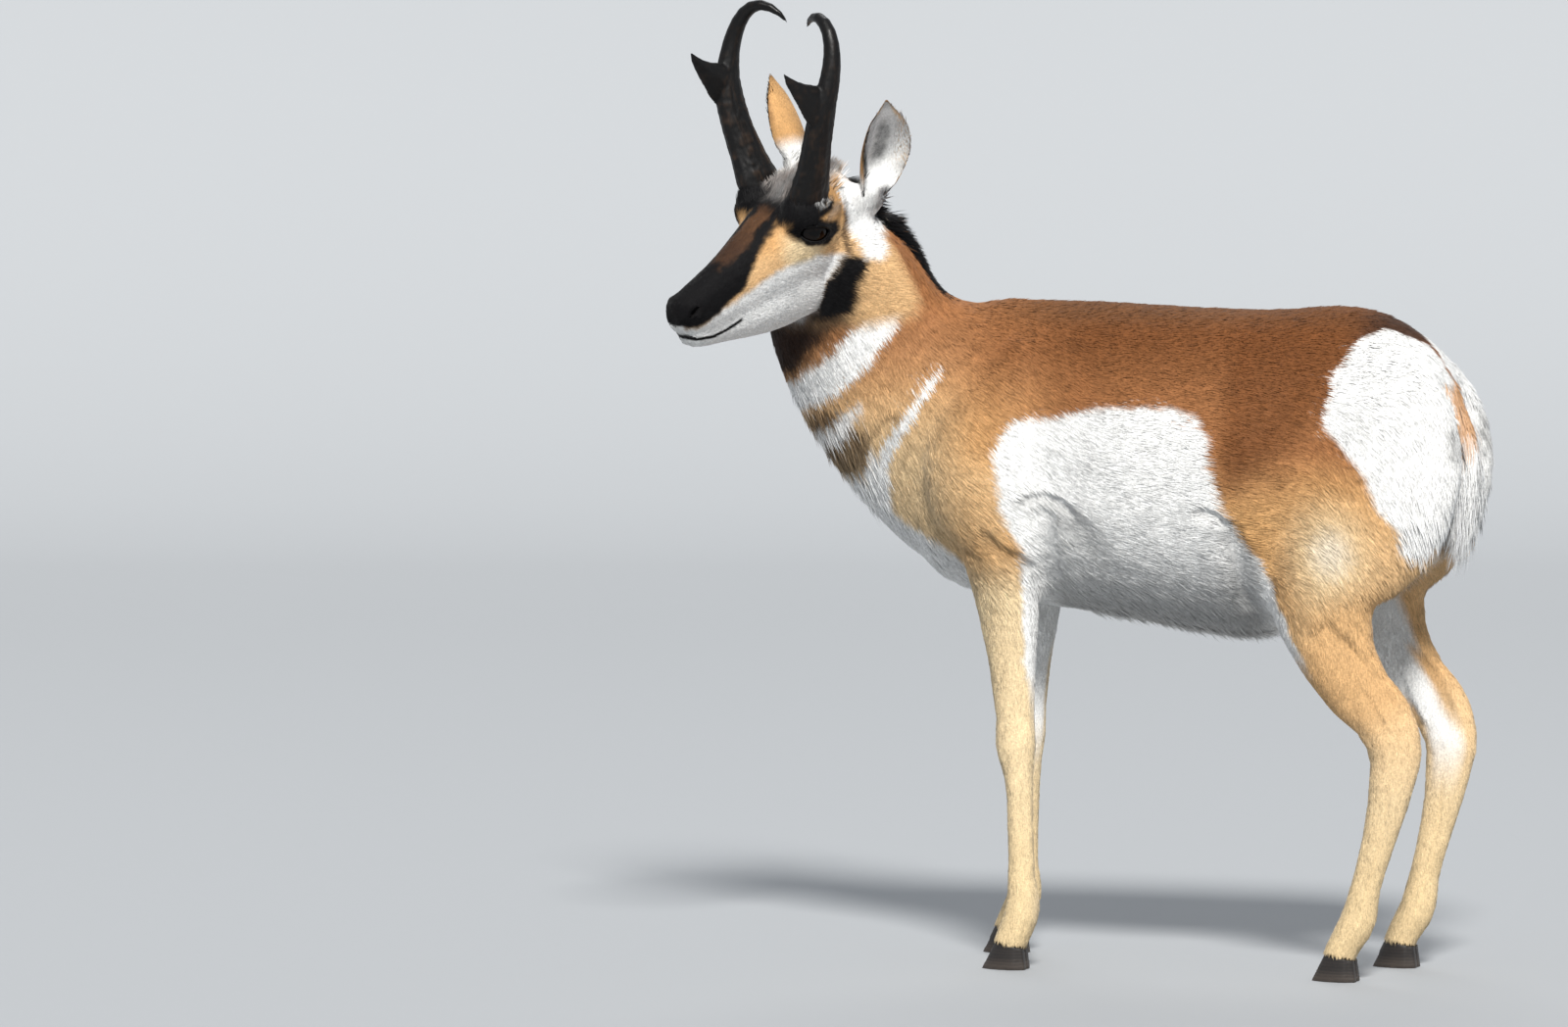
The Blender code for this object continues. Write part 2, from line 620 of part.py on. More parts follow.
def grow_mane(neck):
    """Rows of upright locks along the nape, leaning back and shorter towards the withers."""
    tree = BVHTree.FromObject(neck, bpy.context.evaluated_depsgraph_get())
    draw = random.Random(7)
    path = [Vector(row[:3]) for row in flow(MANE, MANE_RANKS + 2)]
    tufts = []
    for i in range(1, MANE_RANKS + 1):
        run = (path[i + 1] - path[i - 1]).normalized()
        side = run.cross(Vector((0, 0, 1))).normalized()
        out = side.cross(run)
        out = out if out.z > 0 else -out
        share = 1 - (i - 1) / MANE_RANKS
        for j in range(-1, 2):
            start = path[i] + out * 0.06 + side * j * MANE_SPREAD
            start += run * draw.uniform(-0.003, 0.003)
            root = tree.ray_cast(start, -out)[0]
            if root is None:
                continue
            lead = out * (0.38 + 0.36 * share - 0.06 * abs(j)) + run * 0.86 + side * j * 0.14
            lead += Vector(draw.uniform(-0.05, 0.05) for _ in range(3))
            flat = out * (0.1 + 0.6 * share) + side * (0.7 * j if j else 0.5)
            length = MANE_LENGTH * (0.70 + 0.30 * share) * draw.uniform(0.92, 1.08)
            width = MANE_WIDTH * (0.75 + 0.25 * share)
            tufts.append(tuft(root - out * 0.006, lead, flat, length, width, LOCK_THICK, out * -0.30))
    return grow(neck, tufts)


def grow_tail(tail):
    """Locks down the back and flanks of the tail, each rank over the one below it."""
    draw = random.Random(11)
    path = [Vector(row[:3]) for row in flow(TAIL, TAIL_RANKS + 3)]
    reach = flow(TAIL, TAIL_RANKS + 3)
    tufts = []
    for i in range(2, TAIL_RANKS + 2):
        run = (path[i + 1] - path[i - 1]).normalized()
        for j in range(-2, 3):
            angle = math.radians(TAIL_FAN * (j + 0.5 * (i % 2)))
            out = Vector((math.cos(angle), math.sin(angle), 0))
            out = (out - run * run.dot(out)).normalized()
            bulge = reach[i][4] * abs(math.cos(angle)) + reach[i][5] * abs(math.sin(angle))
            root = path[i] + out * (bulge * 0.62)
            lead = run + out * draw.uniform(0.08, 0.18)
            length = TAIL_LENGTH * draw.uniform(0.88, 1.08)
            tufts.append(tuft(root, lead, run.cross(out), length, TAIL_WIDTH, LOCK_THICK, -out * 0.20))
    return grow(tail, tufts)


def horn(side, head):
    beam = solid(f"horn_{NAMES[side]}", limb(on_side(HORN, side), 23, 12, (1, 0, 0), head))
    prong = solid("prong", limb(on_side(PRONG, side), 8, 8, place=head))
    return combine(beam, prong, "UNION")


def ear(side, head):
    """A cupped leaf: each ring runs round the back of the ear and returns inside the cup."""
    root, tip, faces, bow = (Vector((x, side * y, z)) for x, y, z in EARS[side])
    along = (tip - root).normalized()
    faces = (faces - along * faces.dot(along)).normalized()
    across = along.cross(faces)
    rings = []
    rows = [(t * 0.15, 0, 0, w, d, math.radians(curl), hollow) for t, w, d, curl, hollow in EAR]
    for t, _, _, width, depth, curl, hollow in flow(rows, 14):
        t /= 0.15
        centre = root.lerp(tip, t) + bow * math.sin(math.pi * t)
        ring = []
        for k in range(11):
            angle = curl * (k / 5 - 1)
            ring.append(centre + across * width * math.sin(angle) - faces * depth * math.cos(angle))
        wall = min(EAR_WALL, width * 0.35)
        for k in range(9, 0, -1):
            angle = curl * (k / 5 - 1)
            cup = across * (width - wall) * math.sin(angle) - faces * (depth - wall) * math.cos(angle)
            flush = across * width * 0.9 * math.sin(angle) + faces * depth * 0.45 * math.cos(angle * 0.8)
            ring.append(centre + flush.lerp(cup, min(1.0, max(0.0, hollow))))
        rings.append([head @ point for point in ring])
    return solid(f"ear_{NAMES[side]}", skin_rings(rings))


def eye_frame(side, head):
    """The eye's own frame: X along the opening to its front corner, Y up the lids, Z the way it looks."""
    forward, out, up = EYE_AT
    turn = math.radians(EYE_LOOK)
    look = Vector((-math.sin(turn), side * math.cos(turn), EYE_LIFT)).normalized()
    tilt = math.radians(LID_TILT)
    along = Vector((-math.cos(tilt), 0, math.sin(tilt)))
    along = (along - look * along.dot(look)).normalized()
    rise = look.cross(along) * side
    rise = rise if rise.z > 0 else -rise
    frame = Matrix((along, rise, look)).transposed().to_4x4()
    frame.translation = Vector((-forward, side * out, up))
    return head @ frame


def open_eyes(skull, side, head):
    """Lays lids over the eyeball, hollows the socket behind them and opens them like an almond."""
    frame = eye_frame(side, head)
    lids = solid("lids", ball((0, 0, 0), (EYE_RADIUS + LID_THICKNESS,) * 3, place=frame, detail=(20, 12)))
    combine(skull, lids, "UNION")
    socket = solid("socket", ball((0, 0, 0), (EYE_RADIUS + GAP,) * 3, place=frame, detail=(18, 10)))
    combine(skull, socket, "DIFFERENCE")
    rim = []
    for k in range(24):
        angle = 2 * math.pi * k / 24
        reach = LID_RISE if math.sin(angle) > 0 else LID_FALL
        rim.append((LID_HALF * bend(math.cos(angle), 0.9), reach * bend(math.sin(angle), 1.25)))
    rings = []
    for depth, spread in ((0.35 * EYE_RADIUS, 0.9), (1.5 * EYE_RADIUS, 1.12)):
        rings.append([frame @ Vector((x * spread, y * spread, depth)) for x, y in rim])
    combine(skull, solid("opening", skin_rings(rings)), "DIFFERENCE")
    ball_name = f"eye_{NAMES[side]}"
    return solid(ball_name, ball((0, 0, 0), (EYE_RADIUS,) * 3, place=frame, detail=(18, 10)))


def on_skin(tree, start, target):
    """Where a ray from start towards target meets the skin."""
    hit = tree.ray_cast(start, (target - start).normalized())[0]
    return hit if hit else target


def carve_mouth(skull, head):
    """Cuts the line between the lips, from one corner round to the other, and the nostrils."""
    tree = BVHTree.FromObject(skull, bpy.context.evaluated_depsgraph_get())
    path = [(x, RIGHT * y, z) for x, y, z in MOUTH[::-1]] + [(x, LEFT * y, z) for x, y, z in MOUTH[1:]]
    corner = MOUTH[-1][1]
    rows = []
    for forward, out, up in path:
        before_lips = 0.05 if out == 0 else 0.012
        inner = head @ Vector((-forward + 0.03, out * 0.2, up))
        outer = head @ Vector((-forward - before_lips, out * 3, up))
        end = 0.4 if abs(out) == corner else 1.0
        rows.append((*on_skin(tree, outer, inner), LIP_GAP * end, LIP_GAP * end, LIP_DEPTH * end))
    groove = solid("groove", limb(rows, 44, 6, side=head.to_3x3() @ Vector((1, 0, 0))))
    combine(skull, groove, "DIFFERENCE")
    for side in (LEFT, RIGHT):
        forward, out, up = NOSTRIL_AT
        outer = head @ Vector((-forward - 0.02, side * out, up + 0.004))
        point = head.inverted() @ on_skin(tree, outer, head @ Vector((-forward + 0.03, 0, up - 0.002)))
        turn = Matrix.Rotation(side * math.radians(NOSTRIL_YAW), 4, "Z")
        turn = turn @ Matrix.Rotation(math.radians(NOSTRIL_PITCH), 4, "Y")
        slit = solid("slit", ball(point, NOSTRIL_SIZE, turn, head, detail=(12, 8)))
        combine(skull, slit, "DIFFERENCE")
    return skull


def leg_region(cut, side, lift):
    """A block round one leg, upright at the sides, whose top rises backwards and outwards."""
    front, rear, height, back_slope, out_slope = cut
    near, far = sorted((LEG_INNER * side, LEG_OUTER * side))
    made = block((front, near, -height), (rear, far, height))
    for vert in made.verts:
        if vert.co.z > 0:
            rise = (vert.co.x - front) * back_slope + abs(vert.co.y) * out_slope
            vert.co.z = height + lift + rise
    return made


def half_space(point, normal, shift=0.0, place=None):
    """A box whose one face lies on the plane, standing ahead of it."""
    normal = Vector(normal).normalized()
    turn = normal.to_track_quat("Z", "Y").to_matrix().to_4x4()
    matrix = (place or Matrix.Identity(4)) @ Matrix.Translation(Vector(point) + normal * shift) @ turn
    return block((-CUT_REACH, -CUT_REACH, 0.0), (CUT_REACH, CUT_REACH, CUT_DEPTH), matrix)


def claw(foot, side, toe_side, centre):
    """One half of a hoof: flat below, upright at the cleft, pointed at the toe."""
    x, y = centre
    rings = []
    for level in range(4):
        t = level / 3
        toe = x - CLAW_TOE + CLAW_SLOPE * t**0.9
        heel = x + CLAW_HEEL - 0.004 * t
        wide = CLAW_WIDE * (1.0 - 0.07 * t)
        ring = []
        for k in range(5):
            along = k / 4
            ring.append((heel + (toe - heel) * along, CLEFT + CLEFT_OPENS * along * (1 - 0.4 * t)))
        for k in range(1, 10):
            along = 1 - k / 9
            inner = CLEFT + CLEFT_OPENS * along * (1 - 0.4 * t)
            bulge = (1 - along**3.2) * min(1.0, 0.62 + 1.6 * along)
            ring.append((heel + (toe - heel) * along, inner + (wide - CLEFT) * bulge + TOE_BLUNT))
        points = []
        for px, py in ring:
            top = CORONET - GAP / 2 - (px - x) * CORONET_FALL
            points.append(Vector((px, y + toe_side * py, top * t)))
        rings.append(points)
    half = "inner" if toe_side * side < 0 else "outer"
    return solid(f"hoof_{foot}_{NAMES[side]}_{half}", skin_rings(rings))


NAMES = {LEFT: "left", RIGHT: "right"}

# What each kind of piece looks like: colour on screen from 0 to 1, roughness.
TAN, DARK_TAN, PALE_TAN = (0.64, 0.44, 0.26), (0.50, 0.34, 0.21), (0.76, 0.62, 0.46)
LOOKS = {
    "head": (DARK_TAN, 0.85),
    "neck": (TAN, 0.88),
    "torso": (TAN, 0.88),
    "foreleg": (PALE_TAN, 0.86),
    "hindleg": (PALE_TAN, 0.86),
    "tail": ((0.52, 0.38, 0.27), 0.9),
    "ear": ((0.70, 0.60, 0.50), 0.88),
    "horn": ((0.09, 0.08, 0.08), 0.42),
    "hoof": ((0.13, 0.12, 0.11), 0.50),
    "eye": ((0.045, 0.035, 0.030), 0.06),
}
SHARP = 42.0  # degrees between faces that meet in a crisp edge


def take(body, name, cutter, shift):
    """Parts off what lies in the cutter, and leaves a gap behind."""
    piece = copy_of(body, name)
    combine(piece, solid("cutter", cutter(0.0)), "INTERSECT")
    keep_largest(piece)
    combine(body, solid("cutter", cutter(-shift)), "DIFFERENCE")
    return piece


def foot_centre(rows, side, lean):
    """Where the coronet stands, from the last two stations of the leg."""
    low = on_side(rows, side, lean)[-2:]
    t = (low[0][2] - CORONET) / (low[0][2] - low[1][2])
    return low[0][0] + (low[1][0] - low[0][0]) * t, low[0][1]


def build():
    clear_scene()
    head = head_frame()
    whole = whole_body(head)

    def ahead(shift):
        return half_space(*HEAD_CUT, shift, head)

    body = thin_out(whole, BODY_TRIANGLES, lambda points: head_share(points, head))
    body.name = "torso"
    skull = take(body, "head", ahead, GAP)
    keep_largest(body)
    neck = take(body, "neck", lambda shift: half_space(*NECK_CUT, shift), GAP)
    for side, fore_lean, hind_lean in ((LEFT, 0, 0), (RIGHT, RIGHT_FORE_LEAN, RIGHT_HIND_LEAN)):
        for foot, cut, rows, lean in (
            ("fore", FORELEG_CUT, FORELEG, fore_lean),
            ("hind", HINDLEG_CUT, HINDLEG, hind_lean),
        ):

            def region(lift):
                return leg_region(cut, side, -lift)

            leg = take(body, f"{foot}leg_{NAMES[side]}", region, GAP)
            centre = foot_centre(rows, side, lean)
            coronet = half_space((centre[0], 0, CORONET + GAP / 2), (CORONET_FALL, 0, 1))
            combine(leg, solid("cutter", coronet), "INTERSECT")
            keep_largest(leg)
            for toe_side in (LEFT, RIGHT):
                claw(foot, side, toe_side, centre)
    keep_largest(body)
    for side in (LEFT, RIGHT):
        seat(horn(side, head), skull)
        seat(seat(ear(side, head), skull), neck)
    carve_mouth(skull, head)
    for side in (LEFT, RIGHT):
        open_eyes(skull, side, head)
    keep_largest(skull)
    combine(grow_mane(neck), solid("cutter", ahead(-GAP)), "DIFFERENCE")
    keep_largest(neck)
    seat(grow_tail(solid("tail", limb(TAIL, 10, 10))), body)


def light_value(shown):
    """The linear value behind a colour value as a screen shows it."""
    return ((shown + 0.055) / 1.055) ** 2.4 if shown > 0.04045 else shown / 12.92


def dress(found):
    """Gives a piece a material of its own and shades it smooth."""
    colour, roughness = LOOKS[found.name.split("_")[0]]
    material = bpy.data.materials.new(found.name)
    material.use_nodes = True
    shader = material.node_tree.nodes["Principled BSDF"]
    shader.inputs["Base Color"].default_value = (*(light_value(part) for part in colour), 1.0)
    shader.inputs["Roughness"].default_value = roughness
    shader.inputs["Metallic"].default_value = 0.0
    found.data.materials.clear()
    found.data.materials.append(material)
    found.data.shade_smooth()
    found.data.set_sharp_from_angle(angle=math.radians(SHARP))


def stand_on_floor(pieces):
    """Sets the whole animal so that the middle of its box's underside is the origin."""
    points = np.array([tuple(vert.co) for piece in pieces for vert in piece.data.vertices])
    low, high = points.min(axis=0), points.max(axis=0)
    shift = Matrix.Translation((-(low[0] + high[0]) / 2, -(low[1] + high[1]) / 2, -low[2]))
    for piece in pieces:
        piece.data.transform(shift)


def finish():
    """Puts every piece in the animal's own collection, dressed and set in place."""
    home = bpy.data.collections.new("pronghorn")
    bpy.context.scene.collection.children.link(home)
    pieces = [found for found in bpy.context.scene.objects if found.type == "MESH"]
    stand_on_floor(pieces)
    for piece in pieces:
        bpy.context.scene.collection.objects.unlink(piece)
        home.objects.link(piece)
        piece.data.name = piece.name
        dress(piece)


build()
finish()
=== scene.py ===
"""The looks of a life-size pronghorn buck that stands still with its head turned to its left.

The animal faces -X and its left side is -Y. Sizes are in metres. A place on the body is given
from the point of the floor that lies under the middle of its back, where x runs backwards, and a
place on the head from the point between the eyes, as forward, outward and upward.
"""

import math

import bmesh
import bpy
import numpy as np
from mathutils import Euler, Matrix, Vector
from mathutils.bvhtree import BVHTree


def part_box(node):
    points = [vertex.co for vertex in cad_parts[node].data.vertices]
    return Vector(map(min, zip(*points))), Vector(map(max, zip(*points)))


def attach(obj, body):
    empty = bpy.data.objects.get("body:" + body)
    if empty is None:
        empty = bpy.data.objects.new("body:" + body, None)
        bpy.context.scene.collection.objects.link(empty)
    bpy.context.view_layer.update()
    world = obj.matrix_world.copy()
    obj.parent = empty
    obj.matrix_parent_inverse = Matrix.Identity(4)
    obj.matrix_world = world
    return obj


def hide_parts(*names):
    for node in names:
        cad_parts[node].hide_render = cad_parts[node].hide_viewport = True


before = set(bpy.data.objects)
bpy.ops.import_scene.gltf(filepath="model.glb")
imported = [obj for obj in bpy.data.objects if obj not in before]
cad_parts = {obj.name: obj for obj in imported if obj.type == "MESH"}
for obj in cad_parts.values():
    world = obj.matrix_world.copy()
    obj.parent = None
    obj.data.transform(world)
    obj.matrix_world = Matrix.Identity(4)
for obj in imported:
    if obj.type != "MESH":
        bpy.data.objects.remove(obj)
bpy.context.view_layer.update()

# --- The view ---
# A camera with a long lens stands 16 m away, level with the belly and a little ahead of the
# left flank. A wide soft lamp ahead of the shoulder and a pale sky light the coat evenly.

HEAD_TURN = (
    Matrix.Rotation(math.radians(60), 3, "Z")
    @ Matrix.Rotation(math.radians(-20), 3, "Y")
    @ Matrix.Rotation(math.radians(8), 3, "X")
)
EYE_OUT = Vector((0.001, -0.047, 0.015))  # the left eye from the point between the eyes
eye_low, eye_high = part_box("eye_left")
head_at = (eye_low + eye_high) / 2 - HEAD_TURN @ EYE_OUT
body_at = head_at - Vector((-0.628, -0.133, 0.985))
INTO_HEAD = np.array(HEAD_TURN.transposed())

AZIMUTH, ELEVATION, DISTANCE = 18.0, 4.5, 16.0
LENS, SENSOR = 274.8, 36.0
AIM = body_at + Vector((-0.6105, -0.198, 0.6137))


def toward(azimuth, elevation):
    """The way from the animal to someone who looks at it from there, in degrees."""
    a, e = math.radians(azimuth), math.radians(elevation)
    return Vector((math.sin(a) * math.cos(e), -math.cos(a) * math.cos(e), math.sin(e)))


def place_object(name, data, at=(0, 0, 0), facing=None):
    found = bpy.data.objects.new(name, data)
    bpy.context.scene.collection.objects.link(found)
    found.location = at
    if facing:
        found.rotation_euler = facing.to_track_quat("Z", "Y").to_euler()
    return found


lens = bpy.data.cameras.new("camera")
lens.lens, lens.sensor_width, lens.clip_end = LENS, SENSOR, 100
camera = place_object(
    "camera", lens, AIM + toward(AZIMUTH, ELEVATION) * DISTANCE, toward(AZIMUTH, ELEVATION)
)
bpy.context.scene.camera = camera


def lamp(name, azimuth, elevation, spread, strength, colour=(1, 1, 1)):
    """Even light from one side, as from a wide far lamp that spreads over so many degrees."""
    data = bpy.data.lights.new(name, "SUN")
    data.angle, data.energy, data.color = math.radians(spread), strength, colour
    return place_object(name, data, body_at + Vector((0, 0, 4)), toward(azimuth, elevation))


lamp("key_lamp", 22, 43, 12, 4.1, (1.0, 0.98, 0.95))
lamp("rim_lamp", 200, 45, 30, 0.6)

sky = bpy.data.worlds.new("sky")
sky.use_nodes = True
sky.node_tree.nodes["Background"].inputs["Color"].default_value = (0.88, 0.93, 1.0, 1)
sky.node_tree.nodes["Background"].inputs["Strength"].default_value = 0.46
bpy.context.scene.world = sky
bpy.context.scene.view_settings.view_transform = "Standard"

# --- The floor ---
# A sheet of matt pale grey paper that curves up behind the animal, as in a photographer's studio.
# It is not part of the animal.


def light_value(shown):
    """An sRGB hex colour as linear light, for a socket."""
    parts = [int(shown[i : i + 2], 16) / 255 for i in (1, 3, 5)]
    return tuple(c / 12.92 if c <= 0.04045 else ((c + 0.055) / 1.055) ** 2.4 for c in parts)


def add_node(tree, kind, settings=None, **links):
    """Adds a node. A link's name is its socket's, with _ for a space, or input_ and its number."""
    made = tree.nodes.new(kind)
    for key, value in (settings or {}).items():
        setattr(made, key, value)
    for key, value in links.items():
        spot = int(key[6:]) if key.startswith("input_") else key.replace("_", " ")
        socket = made.inputs[spot]
        if isinstance(value, bpy.types.NodeSocket):
            tree.links.new(value, socket)
        else:
            socket.default_value = value
    return made


def new_material(name, colour, roughness, **sockets):
    """A material of one shader, whose constants are set on the shader's own sockets."""
    made = bpy.data.materials.new(name)
    made.use_nodes = True
    shader = made.node_tree.nodes["Principled BSDF"]
    shader.inputs["Base Color"].default_value = (*light_value(colour), 1)
    shader.inputs["Roughness"].default_value = roughness
    for key, value in sockets.items():
        shader.inputs[key.replace("_", " ")].default_value = value
    made.diffuse_color = (*light_value(colour), 1)
    return made, made.node_tree, shader


FLOOR_REACH, FLOOR_RISE, FLOOR_BEND = 9.0, 6.0, 2.5
paper, _, _ = new_material("matt studio paper", "#A6A9AC", 0.95)
rows = [(-FLOOR_REACH, 0.0)]
for step in range(13):
    angle = math.radians(90 * step / 12)
    rows.append((FLOOR_REACH - FLOOR_BEND + FLOOR_BEND * math.sin(angle), FLOOR_BEND * (1 - math.cos(angle))))
rows.append((FLOOR_REACH, FLOOR_RISE))
sheet = bpy.data.meshes.new("studio_floor")
across = toward(AZIMUTH, 0)
along = Vector((-across.y, across.x, 0))
points = [body_at - across * y + along * x + Vector((0, 0, z)) for x in (-14, 14) for y, z in rows]
count = len(rows)
sheet.from_pydata(points, [], [(i, i + 1, i + 1 + count, i + count) for i in range(count - 1)])
sheet.materials.append(paper)
for face in sheet.polygons:
    face.use_smooth = True
floor = place_object("studio_floor", sheet)

# --- The skin ---
# Hide drawn over the flesh of head, neck, trunk and legs in one piece, with no seam.
# It lies under the tips of the hair by the depth of the coat and carries the same markings.

FLESH = ["head", "neck", "torso", "tail"]
FLESH += ["foreleg_left", "foreleg_right", "hindleg_left", "hindleg_right"]
EARS = ["ear_left", "ear_right"]
PORE = 0.0026  # spacing of the skin's points on the head
SKIN_TRIANGLES = 180000
LOCK_ROUNDS = 120  # passes that melt the solids' locks away from under the hair


def mesh_arrays(mesh):
    """The points and the triangles of a mesh."""
    mesh.calc_loop_triangles()
    points = np.empty(len(mesh.vertices) * 3)
    mesh.vertices.foreach_get("co", points)
    corners = np.empty(len(mesh.loop_triangles) * 3, np.int32)
    mesh.loop_triangles.foreach_get("vertices", corners)
    return points.reshape(-1, 3), corners.reshape(-1, 3)


def surface_normals(points, corners):
    """Each point's outward way, averaged over the triangles round it."""
    a, b, c = (points[corners[:, i]] for i in range(3))
    face = np.cross(b - a, c - a)
    total = np.zeros_like(points)
    for i in range(3):
        for axis in range(3):
            total[:, axis] += np.bincount(corners[:, i], face[:, axis], len(points))
    return total / np.maximum(np.linalg.norm(total, axis=1, keepdims=True), 1e-12)


def relax(points, corners, rounds, share):
    """Evens out a surface, each point by its own share, without letting it shrink."""
    start = corners.ravel()
    end = np.roll(corners, -1, axis=1).ravel()
    count = len(points)
    valence = np.maximum(np.bincount(start, minlength=count), 1)[:, None]
    for i in range(rounds):
        step = 0.55 if i % 2 == 0 else -0.57
        near = np.stack([np.bincount(start, points[end, k], count) for k in range(3)], axis=1)
        points = points + step * np.reshape(share, (-1, 1)) * (near / valence - points)
    return points


def on_head(points):
    """Points of the frame as forward, outward and upward on the head."""
    local = (points - np.array(head_at)) @ INTO_HEAD.T
    return np.stack([-local[:, 0], np.abs(local[:, 1]), local[:, 2]], axis=1)


def head_share(points):
    """How far each point belongs to the head, from 0 to 1."""
    forward, _, up = on_head(points).T
    return np.clip((forward + 0.125) / 0.05, 0, 1) * np.clip((up + 0.15) / 0.04, 0, 1)


def settle(found):
    """Replaces an object's mesh by what its modifiers make of it."""
    bpy.context.view_layer.update()
    graph = bpy.context.evaluated_depsgraph_get()
    mesh = bpy.data.meshes.new_from_object(found.evaluated_get(graph))
    old = found.data
    found.modifiers.clear()
    found.data = mesh
    bpy.data.meshes.remove(old)
    return found


def swollen_copy(names, by):
    """Copies of CAD nodes in one mesh, each a hair fuller so that they run into each other."""
    whole = bmesh.new()
    for name in names:
        piece = bmesh.new()
        piece.from_mesh(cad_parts[name].data)
        bmesh.ops.remove_doubles(piece, verts=piece.verts, dist=0.00002)
        piece.normal_update()
        for vert in piece.verts:
            vert.co += vert.normal * by
        mesh = bpy.data.meshes.new("piece")
        piece.to_mesh(mesh)
        piece.free()
        whole.from_mesh(mesh)
        bpy.data.meshes.remove(mesh)
    return whole


def drop_scraps(found):
    """Keeps only the largest closed surface of an object's mesh."""
    form = bmesh.new()
    form.from_mesh(found.data)
    left, largest = set(form.verts), []
    while left:
        part = [left.pop()]
        for vert in part:
            for edge in vert.link_edges:
                other = edge.other_vert(vert)
                if other in left:
                    left.remove(other)
                    part.append(other)
        largest = max(largest, part, key=len)
    keep = set(largest)
    bmesh.ops.delete(form, geom=[vert for vert in form.verts if vert not in keep], context="VERTS")
    form.to_mesh(found.data)
    form.free()


def unit(ways):
    return ways / np.maximum(np.linalg.norm(ways, axis=-1, keepdims=True), 1e-12)


def step_up(value, start, end):
    """A smooth step from 0 to 1."""
    t = np.clip((value - start) / (end - start), 0, 1)
    return t * t * (3 - 2 * t)


def on_body(points):
    """Points of the frame from the floor under the middle of the back."""
    return points - np.array(body_at)


def path_distance(points, path):
    """How far points lie from a bent line, and how far along it, from 0 to 1."""
    path = np.array(path, float)
    nearest, along = np.full(len(points), 9.0), np.zeros(len(points))
    for k, (a, b) in enumerate(zip(path, path[1:])):
        edge = b - a
        t = np.clip((points - a) @ edge / (edge @ edge), 0, 1)
        away = np.linalg.norm(points - a - t[:, None] * edge, axis=1)
        closer = away < nearest
        nearest = np.where(closer, away, nearest)
        along = np.where(closer, (k + t) / (len(path) - 1), along)
    return nearest, along


def mottle(points, size, seed):
    """Smooth random values from -1 to 1, in patches as wide as the size given."""
    values = np.random.default_rng(seed).uniform(-1, 1, (32, 32, 32))
    cell = points / size
    low = np.floor(cell).astype(int)
    t = cell - low
    t = t * t * (3 - 2 * t)
    total = np.zeros(len(points))
    for corner in range(8):
        bits = [corner >> k & 1 for k in range(3)]
        spot = [(low[:, k] + bits[k]) % 32 for k in range(3)]
        share = np.prod([t[:, k] if bits[k] else 1 - t[:, k] for k in range(3)], axis=0)
        total += share * values[spot[0], spot[1], spot[2]]
    return total


def inside(outline, across, up, soft):
    """How far points of a side view lie within an outline, from 0 to 1 over a soft edge."""
    spots = np.stack([across, up], axis=1)
    outline = np.array(outline, float)
    nearest, crossed = np.full(len(spots), 9.0), np.zeros(len(spots), int)
    for a, b in zip(outline, np.roll(outline, -1, axis=0)):
        edge = b - a
        t = np.clip((spots - a) @ edge / max(edge @ edge, 1e-12), 0, 1)
        nearest = np.minimum(nearest, np.linalg.norm(spots - a - t[:, None] * edge, axis=1))
        spans = (a[1] > spots[:, 1]) != (b[1] > spots[:, 1])
        rise = edge[1] if abs(edge[1]) > 1e-9 else 1e-9
        crossed += spans & (spots[:, 0] < a[0] + (spots[:, 1] - a[1]) / rise * edge[0])
    signed = np.where(crossed % 2 == 1, nearest, -nearest)
    return step_up(signed, -soft, soft)


def ear_axis(side):
    """An ear's root, its tip and the way its cup faces, in the frame."""
    root = Vector((0.104, side * 0.060, 0.014)) if side < 0 else Vector((0.086, side * 0.052, 0.050))
    tip = Vector((0.117, side * 0.112, 0.167))
    faces = Vector((-0.30, side * 0.94, 0.0)) if side < 0 else Vector((-0.35, side * 0.92, 0.0))
    return head_at + HEAD_TURN @ root, head_at + HEAD_TURN @ tip, (HEAD_TURN @ faces).normalized()


EAR_BOWS = {-1: (0.011, -0.004, 0.0), 1: (0.0, 0.003, 0.0)}
EAR_WIDTHS = ([0.0, 0.12, 0.28, 0.45, 0.62, 0.78, 0.90, 1.0], [0.016, 0.021, 0.031, 0.0365, 0.0345, 0.026, 0.012, 0.002])


def ear_places(points):
    """Where points lie on the nearer ear: how far along it and across it, how surely, and their way out from its axis."""
    along, across, share = np.zeros(len(points)), np.zeros(len(points)), np.zeros(len(points))
    outward = np.zeros((len(points), 3))
    for side in (-1, 1):
        root, tip, faces = (np.array(value) for value in ear_axis(side))
        run = tip - root
        t = (points - root) @ run / (run @ run)
        bow = np.array(HEAD_TURN @ Vector(EAR_BOWS[side]))
        out = points - root - t[:, None] * run - np.sin(np.pi * np.clip(t, 0, 1))[:, None] * bow
        s, d = out @ np.cross(run / np.linalg.norm(run), faces), out @ faces
        near = (t > -0.05) & (t < 1.2) & (np.abs(s) < 0.055) & (np.abs(d) < 0.045)
        along, across = np.where(near, t, along), np.where(near, s, across)
        share = np.where(near, step_up(t, 0.02, 0.16), share)
        outward = np.where(near[:, None], out, outward)
    return along, across, share, unit(outward)


def ear_share(points):
    return ear_places(points)[2]


def ear_root_share(points):
    """How near points lie to the root of an ear, from 0 to 1."""
    share = np.zeros(len(points))
    for side in (-1, 1):
        root = np.array(ear_axis(side)[0])
        share = np.maximum(share, step_up(-np.linalg.norm(points - root, axis=1), -0.050, -0.036))
    return share


